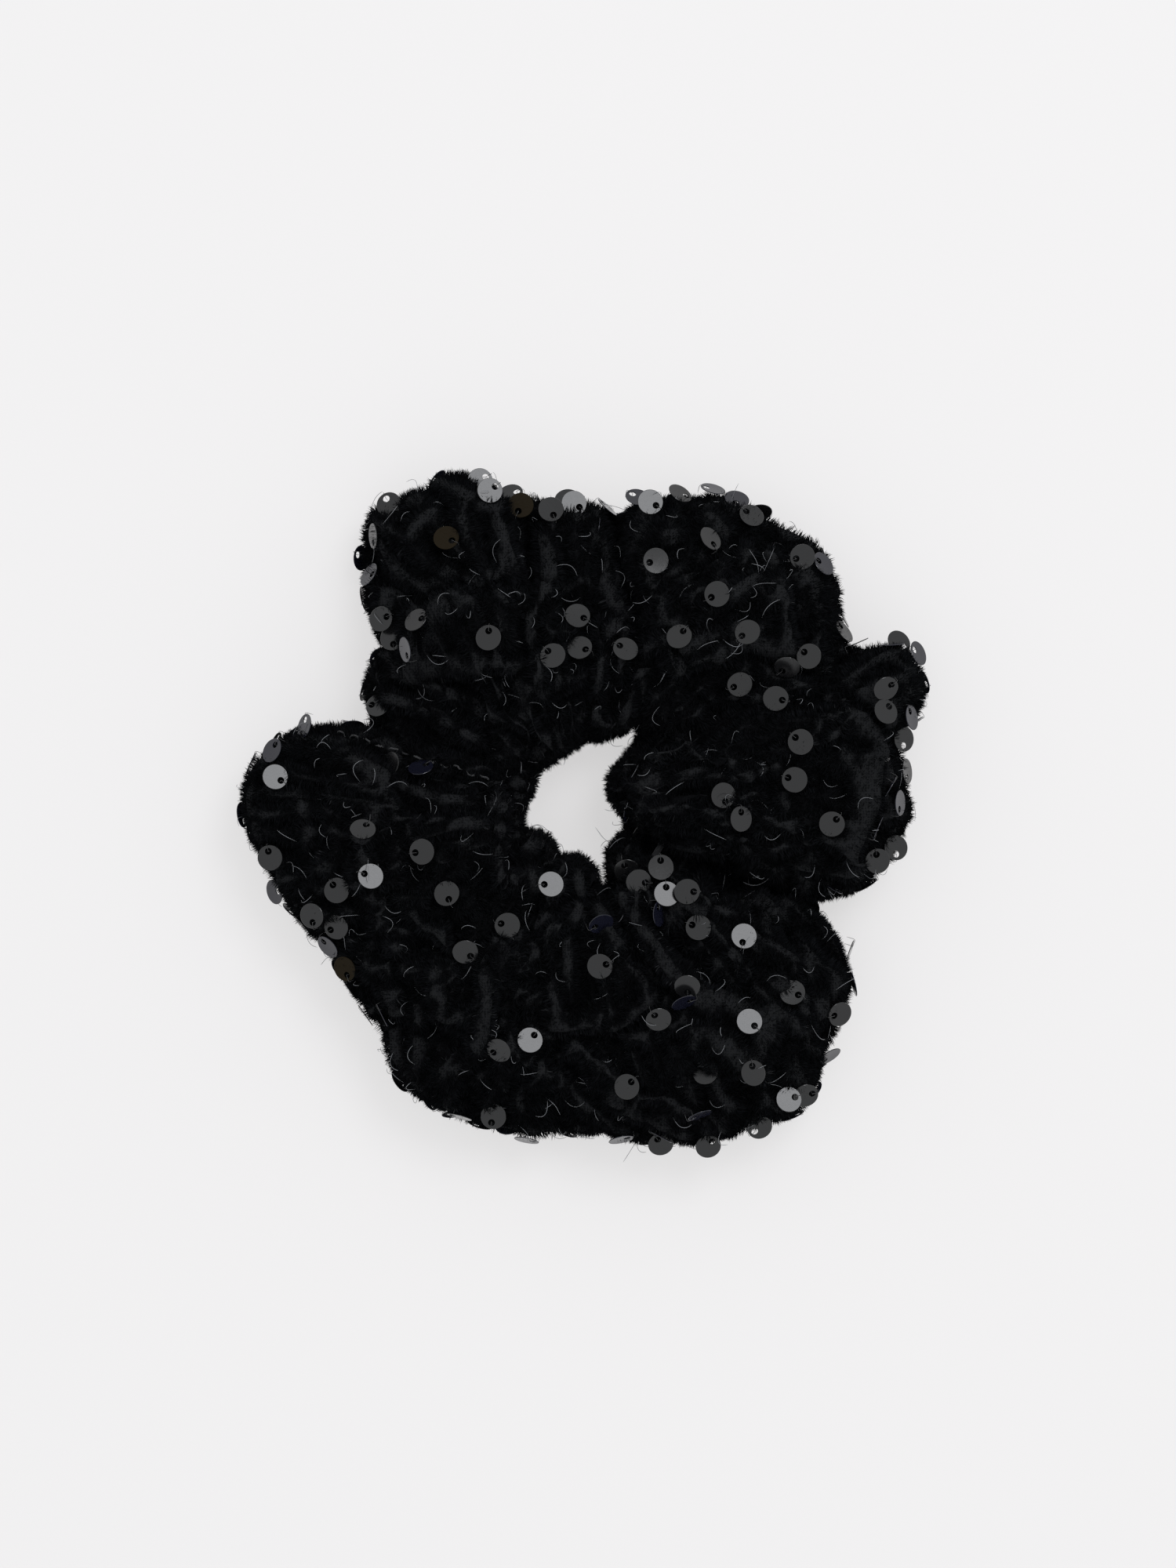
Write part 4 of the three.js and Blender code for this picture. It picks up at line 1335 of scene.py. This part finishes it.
class SCRUNCHIE_OT_seams(bpy.types.Operator):
    """Sews the long seam inside the tube and the closing seam across it"""

    bl_idname = "scrunchie.seams"
    bl_label = "Seams"

    def execute(self, context):
        settings = context.scene.scrunchie_threads
        yarn = bpy.data.materials["sewing_thread"]
        radius = settings.sewing / 2
        points = outer_cloth()[0]
        middle = (points[:, 0] + points[:, -1]) / 2
        centre = ring_centre()
        outward = unit((middle - np.array([centre.x, centre.y, 0])) * np.array([1, 1, 0]))
        row = np.arange(len(middle))
        weave = np.sin(row * math.pi / 2)[:, None] * np.array([0, 0, 0.9 * MM])
        seam = middle + outward * 3.2 * MM + weave
        piece = many_tubes("long_seam", [seam[2:-2]], radius, yarn, 5, anchored=False)
        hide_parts("long_seam_thread")
        tree = cloth_tree(points)
        low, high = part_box("closing_stitch")
        start = np.array([high.x, low.y]) if high.x < 0 else np.array([high.x, high.y])
        finish = np.array([low.x, high.y])
        stitches, height = [], 0.9 * MM
        for k in range(CLOSING_STITCHES):
            path = []
            for share in np.linspace(0.1, 0.75, 6):
                spot = start + (finish - start) * (k + share) / CLOSING_STITCHES
                foot, normal = top_of(tree, spot[0], spot[1])
                if foot is None:
                    continue
                dip = height * (2 * abs(share - 0.425) / 0.65) ** 4
                path.append(foot + normal * (height - dip))
            if len(path) > 2:
                stitches.append(np.array(path))
        piece = many_tubes("closing_seam", stitches, radius, yarn, 6)
        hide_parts("closing_stitch")
        return {"FINISHED"}


# ----------------------------------------------------------------------------- stage

KEY_AIM = (-0.34, -0.46, -1.0)  # way that the key light shines
KEY_HEIGHT = 1.0
FLOOR_SHADE = 0.34  # share of the floor's colour that takes light and shadow
FLOOR_GLOW = 0.66  # share that it gives off evenly
VIEW_CENTRE = (1.2 * MM, 4.8 * MM, 15 * MM)


class SCRUNCHIE_OT_stage(bpy.types.Operator):
    """Lays the pale floor, and sets the soft lights and the camera overhead"""

    bl_idname = "scrunchie.stage"
    bl_label = "Stage"

    def execute(self, context):
        settings = context.scene.scrunchie_stage
        scene = context.scene
        side = 3.0
        corners = [(-side, -side, 0), (side, -side, 0), (side, side, 0), (-side, side, 0)]
        mesh = bpy.data.meshes.new("floor")
        mesh.from_pydata(corners, [], [(0, 1, 2, 3)])
        material, _, shader = node_material("floor_card", tinted(settings.floor, FLOOR_SHADE), 0.9)
        shader.inputs["Specular IOR Level"].default_value = 0
        shader.inputs["Emission Color"].default_value = (*settings.floor, 1)
        shader.inputs["Emission Strength"].default_value = FLOOR_GLOW
        floor = new_object("floor", mesh, material)

        world = bpy.data.worlds.new("studio")
        scene.world = world
        world.use_nodes = True
        background = world.node_tree.nodes["Background"]
        background.inputs["Color"].default_value = (0.97, 0.985, 1.0, 1)
        background.inputs["Strength"].default_value = 0.9

        key = bpy.data.lights.new("key", "AREA")
        key.shape = "DISK"
        key.size = 0.5
        key.energy = 3.4
        key.color = (0.95, 0.965, 1.0)
        lamp = bpy.data.objects.new("key", key)
        scene.collection.objects.link(lamp)
        lamp.location = -Vector(KEY_AIM) * KEY_HEIGHT
        lamp.rotation_euler = (-Vector(KEY_AIM)).to_track_quat("Z", "Y").to_euler()

        camera = bpy.data.cameras.new("overhead")
        camera.sensor_width = 36
        camera.sensor_fit = "AUTO"
        camera.lens = settings.lens
        stand = bpy.data.objects.new("overhead", camera)
        scene.collection.objects.link(stand)
        stand.location = Vector(VIEW_CENTRE) + Vector((0, 0, settings.distance))
        scene.camera = stand
        scene.view_settings.view_transform = "Standard"
        scene.view_settings.look = "None"
        return {"FINISHED"}


# ----------------------------------------------------------------------------- panel


class SCRUNCHIE_PT_panel(bpy.types.Panel):
    """Lists the steps that make the scrunchie, with their settings"""

    bl_label = "Scrunchie"
    bl_idname = "SCRUNCHIE_PT_panel"
    bl_space_type = "VIEW_3D"
    bl_region_type = "UI"
    bl_category = "Scrunchie"

    def draw(self, context):
        for step in STEPS:
            self.layout.operator(step.bl_idname)
        for name in SETTINGS:
            box = self.layout.box()
            group = getattr(context.scene, name)
            for field in group.bl_rna.properties:
                if not field.is_readonly and field.identifier != "name":
                    box.prop(group, field.identifier)


SETTINGS = {
    "scrunchie_casing": CasingSettings,
    "scrunchie_sequins": SequinSettings,
    "scrunchie_threads": ThreadSettings,
    "scrunchie_stage": StageSettings,
}
STEPS = (
    SCRUNCHIE_OT_stage,
    SCRUNCHIE_OT_casing,
    SCRUNCHIE_OT_pile,
    SCRUNCHIE_OT_sequins,
    SCRUNCHIE_OT_elastic,
    SCRUNCHIE_OT_seams,
    SCRUNCHIE_OT_monofilament,
)


def register():
    for settings in (*SETTINGS.values(), *STEPS, SCRUNCHIE_PT_panel):
        bpy.utils.register_class(settings)
    for name, settings in SETTINGS.items():
        setattr(bpy.types.Scene, name, PointerProperty(type=settings))


def unregister():
    for name in SETTINGS:
        delattr(bpy.types.Scene, name)
    for settings in reversed((*SETTINGS.values(), *STEPS, SCRUNCHIE_PT_panel)):
        bpy.utils.unregister_class(settings)


def main():
    register()
    for step in STEPS:
        group, name = step.bl_idname.split(".")
        getattr(getattr(bpy.ops, group), name)()


if __name__ == "__main__":
    main()
